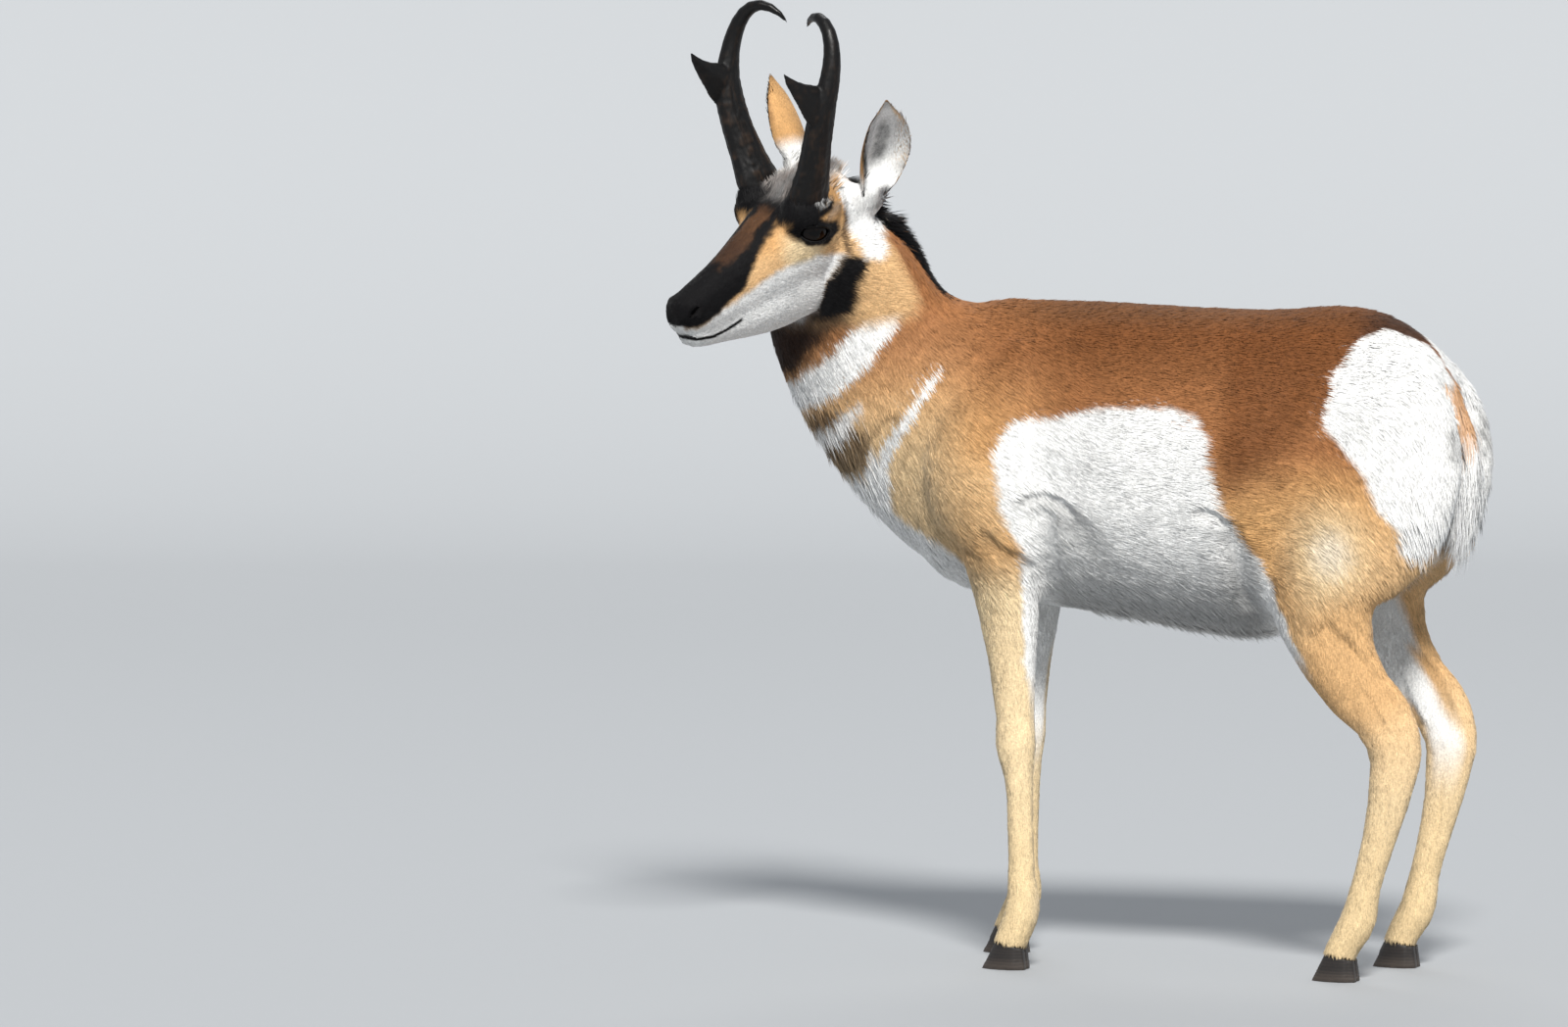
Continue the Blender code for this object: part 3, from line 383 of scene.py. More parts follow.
# The openings between the lids, the line between the lips, and the nostrils, on the head.
EYE_RADIUS, LID_THICKNESS = 0.0245, 0.0034
LID_HALF, LID_RISE, LID_FALL, LID_TILT = 0.0225, 0.0100, 0.0125, 16.0
EYE_LOOK, EYE_LIFT = 24.0, 0.06
MOUTH = [
    (0.226, 0.000, -0.052), (0.219, 0.013, -0.058), (0.205, 0.022, -0.067), (0.180, 0.027, -0.073),
    (0.158, 0.030, -0.0725), (0.142, 0.033, -0.070), (0.131, 0.034, -0.067),
]
LIP_GAP, LIP_DEPTH = 0.0024, 0.0042
NOSTRIL_AT, NOSTRIL_SIZE = (0.206, 0.040, -0.026), (0.0098, 0.0080, 0.0042)
NOSTRIL_YAW, NOSTRIL_PITCH = 30.0, -38.0


def eye_frame(side):
    """An eye's own frame: X along the opening to its front corner, Y up the lids, Z the way it looks."""
    turn, tilt = math.radians(EYE_LOOK), math.radians(LID_TILT)
    look = Vector((-math.sin(turn), side * math.cos(turn), EYE_LIFT)).normalized()
    along = Vector((-math.cos(tilt), 0, math.sin(tilt)))
    along = (along - look * along.dot(look)).normalized()
    rise = look.cross(along) * side
    rise = rise if rise.z > 0 else -rise
    found = (HEAD_TURN @ Matrix((along, rise, look)).transposed()).to_4x4()
    low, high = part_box("eye_left" if side < 0 else "eye_right")
    found.translation = (low + high) / 2
    return found


def lid_line(reach, grow=1.0, count=64):
    """Points along the edges of the lids, at a distance from the eye's centre, in the eye's frame."""
    line = []
    for k in range(count):
        angle = 2 * math.pi * k / count
        c, s = math.cos(angle), math.sin(angle)
        x = math.copysign(abs(c) ** 0.9, c) * LID_HALF * grow
        y = math.copysign(abs(s) ** 1.25, s) * (LID_RISE if s > 0 else LID_FALL) * grow
        line.append(Vector((x, y, math.sqrt(max(reach * reach - x * x - y * y, 1e-8)))))
    return line


def tube_form(rings):
    """A closed form drawn through rings of points, with a flat face at each end."""
    form = bmesh.new()
    rows = [[form.verts.new(point) for point in ring] for ring in rings]
    for low, high in zip(rows, rows[1:]):
        for k in range(len(low)):
            form.faces.new((low[k], low[(k + 1) % len(low)], high[(k + 1) % len(low)], high[k]))
    form.faces.new(rows[0])
    form.faces.new(rows[-1])
    return form


def ball_form(matrix, sizes):
    form = bmesh.new()
    scaled = matrix @ Matrix.Diagonal((*sizes, 1))
    bmesh.ops.create_uvsphere(form, u_segments=40, v_segments=24, radius=1.0, matrix=scaled)
    return form


def join_form(target, form, way):
    """Adds a closed form to an object's mesh, or cuts it out."""
    bmesh.ops.recalc_face_normals(form, faces=form.faces)
    mesh = bpy.data.meshes.new("form")
    form.to_mesh(mesh)
    form.free()
    other = place_object("form", mesh)
    step = target.modifiers.new("join", "BOOLEAN")
    step.operation, step.solver, step.object = way, "MANIFOLD", other
    settle(target)
    bpy.data.objects.remove(other)


def mouth_form(tree):
    """A blade that opens the line between the lips, from one corner round to the other."""
    path = [(f, -out, up) for f, out, up in MOUTH[::-1]] + MOUTH[1:]
    stops = np.linspace(0, len(path) - 1, 49)
    path = np.stack([np.interp(stops, range(len(path)), [row[k] for row in path]) for k in range(3)], axis=1)
    rings = []
    for i, (forward, out, up) in enumerate(path):
        lead = Vector((-max(forward - 0.195, 0.0), out, 0)).normalized()
        spot = head_at + HEAD_TURN @ Vector((-forward, out, up))
        lead = HEAD_TURN @ lead
        hit = tree.ray_cast(spot + lead * 0.05, -lead)[0] or spot
        rise = HEAD_TURN @ Vector((0, 0, 1))
        ends = min(1.0, (min(i, len(path) - 1 - i) + 0.5) / 5)
        rings.append([hit - lead * LIP_DEPTH * ends, hit + lead * 0.006 + rise * LIP_GAP, hit + lead * 0.006 - rise * LIP_GAP])
    return tube_form(rings)


# Folds of the hide, as paths on the body, each with its half width, its depth and how dark its crease
# is painted, partly as painted shade and partly for the thin hair there; those of the left side are mirrored where they
# lie on the trunk.
TRUNK_FOLDS = [
    ([(-0.300, -0.132, 0.636), (-0.274, -0.134, 0.642), (-0.250, -0.137, 0.634), (-0.226, -0.139, 0.610)], 0.0065, 0.0070, 0.80),
    ([(-0.272, -0.133, 0.628), (-0.266, -0.132, 0.613), (-0.268, -0.127, 0.583), (-0.273, -0.110, 0.542),
      (-0.279, -0.091, 0.514)], 0.0110, 0.0050, 0.30),
    ([(-0.250, -0.136, 0.622), (-0.222, -0.140, 0.598), (-0.208, -0.136, 0.565)], 0.0180, 0.0050, 0.40),
    ([(-0.350, -0.140, 0.590), (-0.338, -0.140, 0.574), (-0.314, -0.136, 0.560), (-0.284, -0.115, 0.542)], 0.0060, 0.0055, 0.70),
    ([(-0.424, -0.093, 0.585), (-0.387, -0.124, 0.566), (-0.366, -0.133, 0.554)], 0.0060, 0.0040, 0.40),
    ([(-0.053, -0.155, 0.628), (-0.031, -0.155, 0.621), (-0.011, -0.151, 0.604)], 0.0055, 0.0070, 0.90),
    ([(-0.011, -0.151, 0.604), (-0.003, -0.143, 0.564), (-0.001, -0.126, 0.524), (0.010, -0.101, 0.489)], 0.0120, 0.0095, 0.75),
    ([(0.262, -0.040, 0.800), (0.272, -0.052, 0.760), (0.276, -0.050, 0.700), (0.270, -0.046, 0.640)], 0.0100, 0.0090, 0.45),
    ([(-0.470, -0.070, 0.760), (-0.500, -0.095, 0.735), (-0.530, -0.085, 0.700)], 0.0070, 0.0030, 0.30),
    ([(0.060, -0.160, 0.780), (0.020, -0.162, 0.700), (0.030, -0.160, 0.640)], 0.0300, 0.0060, 0.15),
    ([(-0.230, -0.165, 0.780), (-0.240, -0.162, 0.700), (-0.262, -0.145, 0.645)], 0.0300, 0.0050, 0.0),
]
LEG_FOLDS = [
    ([(0.128, -0.147, 0.477), (0.162, -0.135, 0.441), (0.192, -0.123, 0.404), (0.218, -0.120, 0.363)], 0.0100, 0.0060, 0.12),
    ([(0.162, -0.135, 0.441), (0.163, -0.135, 0.404), (0.156, -0.130, 0.367)], 0.0080, 0.0034, 0.06),
    ([(0.173, -0.133, 0.399), (0.203, -0.126, 0.342)], 0.0055, 0.0032, 0.15),
    ([(0.166, 0.071, 0.449), (0.211, 0.084, 0.402), (0.243, 0.080, 0.335)], 0.0075, 0.0060, 0.30),
    ([(0.144, 0.070, 0.428), (0.166, 0.073, 0.396), (0.190, 0.087, 0.332)], 0.0060, 0.0036, 0.15),
]


def fold_depths(points):
    """How deep the hide is drawn in by folds and between tendons, and how dark the creases are painted, partly as
    painted shade.
    """
    places = on_body(points)
    mirrored = np.column_stack([places[:, 0], -np.abs(places[:, 1]), places[:, 2]])
    depth, crease_shade = np.zeros(len(points)), np.zeros(len(points))
    for folds, spots in ((TRUNK_FOLDS, mirrored), (LEG_FOLDS, places)):
        for path, width, deep, dark in folds:
            away, along = path_distance(spots, path)
            ends = step_up(along, -0.25, 0.20) * step_up(-along, -1.25, -0.80)
            level = np.interp(along, np.linspace(0, 1, len(path)), [row[2] for row in path])
            below = np.clip((level - spots[:, 2]) / width, -1, 1) * 0.5 + 0.5
            found = np.exp(-((away / (width * (0.8 + 1.1 * below))) ** 2)) * ends
            depth = np.maximum(depth, found * deep)
            crease_shade = np.maximum(crease_shade, found * dark)
    x, y, z = places.T
    for k, (behind, _) in enumerate(leg_places(x, y, z)):
        near = (step_up(-x, 0.12, 0.2) if k == 0 else step_up(x, 0.05, 0.08)) * step_up(-z, -0.30, -0.24) * step_up(z, 0.06, 0.09)
        depth = np.maximum(depth, 0.0022 * near * np.exp(-(((behind - 0.006) / 0.0035) ** 2)))
    return depth, crease_shade


# Outlines of the body's markings seen from its side: backward and upward.
FLANK = [
    (-0.255, 0.749), (-0.200, 0.760), (-0.094, 0.762), (-0.060, 0.748), (-0.044, 0.720),
    (-0.038, 0.674), (-0.028, 0.639), (0.004, 0.591), (0.023, 0.566), (0.040, 0.530),
    (0.056, 0.495), (0.080, 0.440), (-0.300, 0.400), (-0.298, 0.545), (-0.312, 0.581),
    (-0.325, 0.601), (-0.331, 0.627), (-0.336, 0.656), (-0.343, 0.688), (-0.338, 0.718),
    (-0.320, 0.742),
]  # fmt: skip
RUMP = [
    (0.169, 0.872), (0.135, 0.857), (0.116, 0.829), (0.102, 0.799), (0.099, 0.767),
    (0.110, 0.741), (0.140, 0.714), (0.166, 0.685), (0.181, 0.657), (0.199, 0.632),
    (0.222, 0.611), (0.217, 0.583), (0.240, 0.572), (0.262, 0.596), (0.340, 0.600),
    (0.340, 0.920), (0.200, 0.920),
]  # fmt: skip
THROAT_BAND = [
    (-0.495, 0.914), (-0.522, 0.883), (-0.556, 0.848), (-0.601, 0.811), (-0.639, 0.791),
    (-0.690, 0.780), (-0.670, 0.745), (-0.624, 0.756), (-0.590, 0.764), (-0.545, 0.795),
    (-0.517, 0.828), (-0.489, 0.868), (-0.479, 0.901),
]  # fmt: skip
NECK_SPOT = [
    (-0.540, 0.759), (-0.572, 0.745), (-0.598, 0.727), (-0.640, 0.715), (-0.630, 0.700),
    (-0.600, 0.703), (-0.581, 0.703), (-0.558, 0.725), (-0.539, 0.753),
]  # fmt: skip
NECK_SHADE = [
    (-0.640, 0.740), (-0.600, 0.755), (-0.560, 0.735), (-0.535, 0.722), (-0.530, 0.690),
    (-0.548, 0.664), (-0.575, 0.660), (-0.640, 0.690),
]  # fmt: skip
CHEST = [
    (-0.528, 0.695), (-0.500, 0.684), (-0.504, 0.664), (-0.506, 0.640), (-0.503, 0.612),
    (-0.475, 0.591), (-0.436, 0.573), (-0.404, 0.552), (-0.370, 0.535), (-0.300, 0.500),
    (-0.280, 0.400), (-0.620, 0.400), (-0.640, 0.660), (-0.550, 0.664),
]  # fmt: skip
NECK_STRIPE = [(-0.431, 0.806), (-0.450, 0.779), (-0.467, 0.751), (-0.490, 0.715), (-0.516, 0.680)]
THROAT_DARK = [
    (-0.548, 0.930), (-0.578, 0.863), (-0.600, 0.838), (-0.640, 0.800), (-0.700, 0.800),
    (-0.700, 0.880), (-0.620, 0.888), (-0.572, 0.900),
]  # fmt: skip
# Outlines of the head's markings seen from its side: forward and upward.
CHEEK = [
    (0.232, -0.041), (0.205, -0.050), (0.187, -0.047), (0.173, -0.040), (0.139, -0.037),
    (0.099, -0.028), (0.086, -0.024), (0.059, -0.017), (0.035, -0.020), (0.006, -0.019),
    (-0.020, -0.028), (-0.039, -0.035), (-0.026, -0.053), (-0.011, -0.068), (-0.003, -0.082),
    (0.000, -0.100), (0.012, -0.130), (0.060, -0.150), (0.240, -0.130),
]  # fmt: skip
NOSE_MASK = [
    (0.240, -0.041), (0.205, -0.049), (0.181, -0.046), (0.160, -0.037), (0.138, -0.030),
    (0.117, -0.024), (0.106, -0.011), (0.086, 0.006), (0.065, 0.021), (0.045, 0.031),
    (0.035, 0.038), (0.030, 0.026), (-0.028, 0.040), (-0.034, 0.056), (-0.010, 0.085),
    (0.060, 0.090), (0.240, 0.060),
]  # fmt: skip
CHEEK_SPOT = [
    (-0.037, -0.035), (-0.058, -0.045), (-0.054, -0.058), (-0.040, -0.078), (-0.034, -0.092),
    (-0.026, -0.110), (0.004, -0.120), (0.002, -0.098), (-0.003, -0.080), (-0.013, -0.064),
    (-0.026, -0.051),
]  # fmt: skip
EAR_ROOT_WHITE = [
    (-0.062, 0.060), (-0.058, 0.020), (-0.056, 0.000), (-0.058, -0.024), (-0.056, -0.044),
    (-0.068, -0.052), (-0.086, -0.046), (-0.104, -0.022), (-0.110, 0.010), (-0.110, 0.060),
]  # fmt: skip
EYE_SHADE = [
    (0.044, 0.026), (0.037, 0.044), (0.022, 0.058), (0.006, 0.054), (0.001, 0.034), (-0.032, 0.017),
    (-0.042, 0.000), (-0.013, -0.011), (0.018, 0.000),
]
JAW_EDGE = [(-0.020, -0.088), (-0.004, -0.111), (0.004, -0.135), (0.010, -0.155)]
JAW_SHADE = [(-0.598, 0.876), (-0.622, 0.856), (-0.642, 0.841), (-0.668, 0.833)]
TEMPLE_LINE = [(-0.078, 0.051), (-0.070, 0.036), (-0.057, 0.016), (-0.051, -0.001), (-0.048, -0.017),
               (-0.045, -0.034)]  # fmt: skip

COAT = {
    "back": "#744624", "side": "#A16D44", "tan": "#D0A26C", "pale tan": "#DEB888", "cream": "#E8D2AA",
    "sand": "#D6BE92", "white": "#F1F1EF", "grey": "#9E9E9D", "black": "#070608", "dark brown": "#33221A",
    "brown": "#6B4A30", "orange": "#CB9866",
}  # fmt: skip
COAT = {name: np.array(light_value(shown)) for name, shown in COAT.items()}
FORELEG_LINE = [(-0.334, 0.02), (-0.310, 0.08), (-0.313, 0.19), (-0.320, 0.30), (-0.324, 0.39), (-0.336, 0.585)]
HINDLEG_LINE = [(0.124, 0.02), (0.155, 0.08), (0.187, 0.195), (0.206, 0.31), (0.160, 0.39), (0.112, 0.51)]
LEG_LEANS = (-0.057, 0.035)  # how far the right feet stand from the left ones, fore and hind


def leg_places(x, y, z):
    """For the foreleg and the hind leg of each side: how far back and how far out of its middle."""
    down = np.clip((0.60 - z) / 0.60, 0, 1)
    places = []
    for line, lean in ((FORELEG_LINE, LEG_LEANS[0]), (HINDLEG_LINE, LEG_LEANS[1])):
        middle = np.interp(z, [row[1] for row in line], [row[0] for row in line])
        middle = middle + np.where(y > 0, lean * down**0.75, 0)
        places.append((x - middle, np.abs(y) - 0.09))
    return places


def markings(points, normals):
    """The colour of the coat at points of the frame that face the ways given, in linear light, with painted shade and
    painted highlights laid in.
    """
    x, y, z = on_body(points).T
    side = np.abs(y)
    rough = 0.0035 * mottle(points, 0.009, 3) + 0.004 * mottle(points, 0.03, 4)
    u, v = x + rough, z + 0.0035 * mottle(points, 0.010, 5)
    colour = np.tile(COAT["side"], (len(points), 1))

    def lay(name, share):
        nonlocal colour
        colour = colour + (COAT[name] - colour) * np.clip(share, 0, 1)[:, None]

    lay("back", step_up(z, 0.74, 0.86) * (0.15 + 0.75 * step_up(x, -0.42, -0.20)))
    lay("tan", step_up(-z, -0.72, -0.60))
    lay("tan", step_up(-x, 0.22, 0.36) * step_up(-z, -0.84, -0.70) * 0.8)
    lay("pale tan", step_up(-x, 0.34, 0.45) * step_up(-z, -0.90, -0.66) * 0.7)
    # A pale spot low on the shoulder is a painted highlight.
    lay("pale tan", step_up(-np.hypot(x + 0.36, (z - 0.63) * 1.2), -0.10, -0.03) * 0.9)
    lay("back", step_up(x, -0.045, -0.01) * step_up(-x, -0.17, -0.08) * step_up(z - 0.9 * (x + 0.02), 0.61, 0.68) * 0.75)
    lay("tan", step_up(x, 0.04, 0.12) * step_up(-z, -0.72, -0.64) * 0.7)
    lay("pale tan", step_up(x, 0.02, 0.10) * step_up(-z, -0.68, -0.56))
    # A cream spot on the haunch is a painted highlight.
    lay("cream", step_up(-np.hypot(x - 0.125, (z - 0.575) * 0.8), -0.080, -0.005) * 0.9)
    lay("cream", step_up(-z, -0.42, -0.22) * 0.75)
    lay("pale tan", step_up(-x, 0.15, 0.2) * step_up(-z, -0.60, -0.54) * 0.6)
    lay("cream", step_up(-x, 0.15, 0.2) * step_up(-z, -0.57, -0.50) * 0.9)
    lay("cream", step_up(-x, 0.36, 0.46) * step_up(-z, -0.80, -0.66) * 0.6)
    # A white spot in the middle of the haunch's cream spot is a painted highlight.
    lay("white", step_up(-np.hypot(x - 0.128, (z - 0.578) * 0.9), -0.045, -0.005) * 0.35)
    # A round patch of deeper tan on the gaskin is painted shade.
    lay("tan", step_up(-np.hypot(x - 0.165, (z - 0.43) * 0.8), -0.10, -0.05) * 0.5)
    lay("sand", step_up(-z, -0.30, -0.10) * 0.6)
    (fore, fore_out), (hind, hind_out) = leg_places(x, y, z)
    fore_leg, hind_leg = step_up(-x, 0.15, 0.2), step_up(x, 0.0, 0.05)
    lay("brown", step_up(z, 0.855, 0.885) * step_up(-x, -0.30, 0.10) * step_up(x, -0.42, -0.26) * 0.65)

    lay("white", inside(FLANK, u, v, 0.006))
    below = step_up(-z, -0.60, -0.53)
    lay("white", below * step_up(-side, -0.075, -0.055) * step_up(z, 0.36, 0.42))
    lay("white", step_up(-fore_out, 0.002, 0.012) * fore_leg * step_up(-z, -0.55, -0.50) * step_up(z, 0.24, 0.34))
    lay("white", step_up(fore, 0.022, 0.030) * fore_leg * step_up(-z, -0.58, -0.54) * step_up(z, 0.30, 0.42))
    lay("white", step_up(-hind_out, 0.002, 0.012) * hind_leg * step_up(-z, -0.60, -0.56) * step_up(z, 0.22, 0.34) * step_up(-hind, -0.05, -0.03))
    lay("white", step_up(-(u - 0.023 - (0.566 - v) * 0.52), -0.004, 0.004) * hind_leg * step_up(-z, -0.60, -0.56) * step_up(z, 0.40, 0.46))
    # Grey under the belly is painted shade on its white hair.
    lay("grey", step_up(-z, -0.58, -0.48) * step_up(side, 0.02, 0.05) * step_up(-np.abs(x + 0.13), -0.17, -0.13) * 0.85)

    stripe = np.interp(x, [0.10, 0.169, 0.200, 0.225, 0.26, 0.30], [0.12, 0.046, 0.022, 0.005, 0.003, 0.006])
    croup = step_up(side + rough, stripe - 0.004, stripe + 0.004)
    lay("dark brown", (1 - croup) * step_up(x, 0.11, 0.17) * step_up(-x, -0.24, -0.20) * step_up(z, 0.84, 0.86) * 0.8)
    lay("white", inside(RUMP, u, v, 0.006) * croup)
    tail_back = step_up(x, 0.250, 0.262) * step_up(-np.abs(y + 0.008), -0.014, -0.008) * step_up(z, 0.695, 0.72)
    lay("orange", tail_back * step_up(-z, -0.835, -0.805) * 0.9)
    lay("black", step_up(-np.abs(x - 0.268) / 0.014 - np.abs(z - 0.722) / 0.030 - np.abs(side - 0.017) / 0.009, -1.2, -0.4) * 0.75)

    beside = step_up(-np.hypot((x - 0.286) / 0.014, (z - 0.738) / 0.032), -1.3, -0.5) * step_up(side, 0.05, 0.07)
    lay("black", beside * (0.30 + 0.45 * mottle(points, 0.004, 14)))
    lay("dark brown", inside(NECK_SHADE, u, v, 0.012) * 0.75)
    lay("brown", inside(THROAT_DARK, u, v, 0.030) * 0.8)
    lay("black", inside(THROAT_DARK, u, v, 0.010) * 0.9)
    lay("white", inside(THROAT_BAND, u, v, 0.005))
    lay("white", inside(NECK_SPOT, u, v, 0.006) * 0.9)
    away, along = path_distance(np.stack([u, v], axis=1), NECK_STRIPE)
    lay("white", step_up(-away, -0.006 - 0.005 * along, -0.003 - 0.004 * along) * step_up(-x, 0.42, 0.434))
    lay("white", inside(CHEST, u, v, 0.006) * step_up(-side, -0.088, -0.076))
    nape = step_up(x, -0.56, -0.54) * step_up(-x, 0.44, 0.47) * step_up(z, 0.885, 0.92)
    ridge = step_up(-np.abs(y - np.interp(x, [-0.56, -0.52, -0.47, -0.42], [-0.050, -0.032, -0.012, -0.004])), -0.020, -0.012)
    lay("black", nape * ridge * step_up(z - 0.9 + (x + 0.46) * 0.85, 0.0, 0.012))

    away, _ = path_distance(np.stack([u, v], axis=1), JAW_SHADE)
    lay("dark brown", step_up(-away, -0.030, -0.008) * step_up(-side, -0.16, -0.14) * 0.8)
    # The creases are painted towards black, partly as painted shade and partly for the thin hair in them.
    _, crease_shade = fold_depths(points)
    colour = colour * (1 - crease_shade[:, None]) + COAT["black"] * crease_shade[:, None]

    trunk = colour
    forward, out, up = on_head(points).T
    f, h = forward + 0.6 * rough, up + 0.0020 * mottle(points, 0.006, 6)
    colour = np.tile(COAT["tan"], (len(points), 1))
    lay("pale tan", step_up(-h, -0.02, 0.01) * 0.8)
    lay("cream", step_up(-np.hypot(f - 0.025, h + 0.008), -0.045, -0.015) * 0.9)
    lay("brown", step_up(-out, -0.024, -0.016) * step_up(h, 0.015, 0.025) * 0.6)
    lay("grey", step_up(h, 0.020, 0.034) * step_up(-np.hypot(f + 0.030, h - 0.020), -0.026, -0.014) * step_up(out, 0.045, 0.052) * 0.45)
    lay("white", inside(CHEEK, f, h, 0.006))
    away, _ = path_distance(np.stack([f, h], axis=1), JAW_EDGE)
    lay("dark brown", step_up(-away, -0.024, -0.010) * 0.85)
    lay("black", inside(CHEEK_SPOT, f, h, 0.005))
    lay("white", inside(EAR_ROOT_WHITE, f, h, 0.006))
    away, _ = path_distance(np.stack([f, h], axis=1), TEMPLE_LINE)
    lay("dark brown", step_up(-away, -0.005, -0.0015) * 0.8)
    ragged = 0.005 * mottle(points, 0.011, 11) + 0.003 * mottle(points, 0.004, 12)
    bridge = step_up(-out + ragged, -0.0185, -0.0095) * step_up(f, 0.025, 0.045) * step_up(-f + 3 * ragged, -0.150, -0.095)
    mask = inside(NOSE_MASK, f, h, 0.004)
    lay("black", mask)
    lay("brown", mask * bridge * (0.80 + 0.2 * mottle(points, 0.007, 9)))
    lay("dark brown", mask * bridge * (0.30 + 0.50 * step_up(f, 0.055, 0.115)))
    crown = step_up(-f, 0.012, 0.025) * step_up(h, 0.052, 0.062)
    lay("white", crown * 0.92)
    between = step_up(-out, -0.034, -0.022) * step_up(h, 0.046, 0.058) * step_up(-f, -0.030, 0.005)
    lay("grey", between)
    lay("brown", between * (0.28 + 0.3 * mottle(points, 0.008, 10)))
    lay("pale tan", step_up(-f, 0.085, 0.10) * step_up(h, 0.04, 0.055) * 0.8)
    to_horn = np.hypot((f + 0.010) / 0.040, (out - 0.044) / 0.027)
    behind = np.maximum(step_up(-f, 0.022, 0.036), step_up(-out, -0.038, -0.026) * step_up(-f, -0.012, 0.004))
    lay("black", step_up(-to_horn, -1.22, -1.02) * step_up(h, 0.030, 0.045) * (1 - behind))
    lay("white", step_up(-np.hypot(f + 0.010, (h - 0.056) * 1.4), -0.019, -0.012) * step_up(out, 0.054, 0.060) * 0.85)
    lay("black", inside(EYE_SHADE, f, h, 0.0035) * step_up(out, 0.040, 0.048))
    away, _ = path_distance(np.stack([forward, up], axis=1), [(row[0], row[2]) for row in MOUTH])
    lay("black", step_up(-away, -0.0032, -0.0014) * step_up(forward, 0.124, 0.130))
    lay("white", step_up(-np.hypot(f - 0.226, out) / 0.014, -1.1, -0.8) * step_up(-h, 0.040, 0.044) * step_up(h, -0.052, -0.050))
    along, across, ear, radial = ear_places(points)
    hollow = step_up(-np.sum(normals * radial, axis=1), -0.10, 0.25)
    over = np.abs(across) / np.maximum(np.interp(along, *EAR_WIDTHS), 0.003)
    lay("white", ear_root_share(points))
    lay("tan", ear * step_up(along, 0.16, 0.36))
    lay("white", ear * hollow)
    lay("pale tan", ear * hollow * step_up(over, 0.45, 0.80) * step_up(along, 0.25, 0.45) * 0.8)
    shade = step_up(-over, -0.50, -0.10) * step_up(-np.abs(along - 0.52), -0.32, -0.12)
    lay("black", ear * hollow * shade * (0.62 + 0.30 * mottle(points, 0.006, 8)))
    rim = step_up(over, 0.84, 0.97)
    lay("brown", ear * rim * step_up(along, 0.35, 0.60) * 0.7)
    lay("dark brown", ear * step_up(along, 0.86, 1.0) * 0.6)
    share = np.maximum(np.maximum(step_up(head_share(points), 0.2, 0.8), ear), ear_root_share(points))[:, None]
    return trunk * (1 - share) + colour * share


def coat_depth(points):
    """How deep the skin lies under the tips of the hair."""
    z = on_body(points)[:, 2]
    forward = on_head(points)[:, 0]
    trunk = 0.0038 * step_up(z, 0.36, 0.60) + 0.0010
    head = 0.0006 + 0.0020 * step_up(-forward, -0.04, 0.08)
    share = step_up(head_share(points), 0.0, 1.0)
    depth = trunk * (1 - share) + head * share
    return depth + (0.0006 - depth) * ear_share(points)


def ear_form(name, side):
    """An ear with its root sunk into the head, rounded off from the CAD's."""
    root, tip, _ = ear_axis(side)
    axis = (tip - root).normalized()
    form = swollen_copy([name], 0.0)
    form.normal_update()
    for vert in form.verts:
        if vert.normal.dot(axis) < -0.3 and (vert.co - root).dot(axis) < 0.05:
            vert.co -= axis * EAR_SUNK
    mesh = bpy.data.meshes.new(name)
    form.to_mesh(mesh)
    ear = place_object(name + "_form", mesh)
    rounded = ear.modifiers.new("round", "SUBSURF")
    rounded.levels = rounded.render_levels = 2
    settle(ear)
    form.clear()
    form.from_mesh(ear.data)
    bpy.data.objects.remove(ear)
    return form


EAR_SUNK, EAR_BULB = 0.012, (0.0205, 0.0205, 0.030)
hide = bpy.data.meshes.new("skin")
form = swollen_copy(FLESH, 0.0004)
form.to_mesh(hide)
form.free()
skin = place_object("skin", hide)
fused = skin.modifiers.new("fuse", "REMESH")
fused.mode, fused.voxel_size = "VOXEL", PORE
settle(skin)
points, corners = mesh_arrays(skin.data)
x, y, z = on_body(points).T
firm = head_share(points)
lower = step_up(0.40 - z, 0.0, 0.1)
locks = step_up(x, -0.56, -0.54) * step_up(-x, 0.42, 0.44) * step_up(z - 0.875 + (x + 0.46) * 0.85, 0.0, 0.02)
locks = np.maximum(locks * (1 - firm), step_up(x, 0.245, 0.260) * step_up(-np.abs(y), -0.06, -0.035) * step_up(z, 0.58, 0.60) * 0.25)
start, end = corners.ravel(), np.roll(corners, -1, axis=1).ravel()
valence = np.bincount(start, minlength=len(points))[:, None]
for _ in range(LOCK_ROUNDS):
    near = np.stack([np.bincount(start, points[end, k], len(points)) for k in range(3)], axis=1)
    points += 0.6 * locks[:, None] * (near / valence - points)
points = relax(points, corners, 30, 1 - 0.6 * firm - 0.35 * lower * (1 - firm))
skin.data.vertices.foreach_set("co", points.ravel())

points -= surface_normals(points, corners) * fold_depths(points)[0][:, None]
skin.data.vertices.foreach_set("co", points.ravel())

for side in (-1, 1):
    join_form(skin, ball_form(eye_frame(side), (EYE_RADIUS + LID_THICKNESS,) * 3), "UNION")
points, corners = mesh_arrays(skin.data)
near_lids = np.zeros(len(points))
for side in (-1, 1):
    away = np.linalg.norm(points - np.array(eye_frame(side).translation), axis=1)
    near_lids = np.maximum(near_lids, step_up(-away, -0.044, -0.034))
points = relax(points, corners, 14, near_lids)
skin.data.vertices.foreach_set("co", points.ravel())
for name, side in (("ear_left", -1), ("ear_right", 1)):
    place = eye_frame(side)
    rings = []
    for depth, grow in ((0.30, 0.90), (1.5, 1.10)):
        rings.append([place @ Vector((p.x * grow, p.y * grow, depth * EYE_RADIUS)) for p in lid_line(EYE_RADIUS)])
    join_form(skin, tube_form(rings), "DIFFERENCE")
    root, tip, faces = ear_axis(side)
    upward = (tip - root).to_track_quat("Z", "Y").to_matrix().to_4x4()
    join_form(skin, ball_form(Matrix.Translation(root - faces * 0.006) @ upward, EAR_BULB), "UNION")
    join_form(skin, ear_form(name, side), "UNION")
tree = BVHTree.FromObject(skin, bpy.context.evaluated_depsgraph_get())
join_form(skin, mouth_form(tree), "DIFFERENCE")
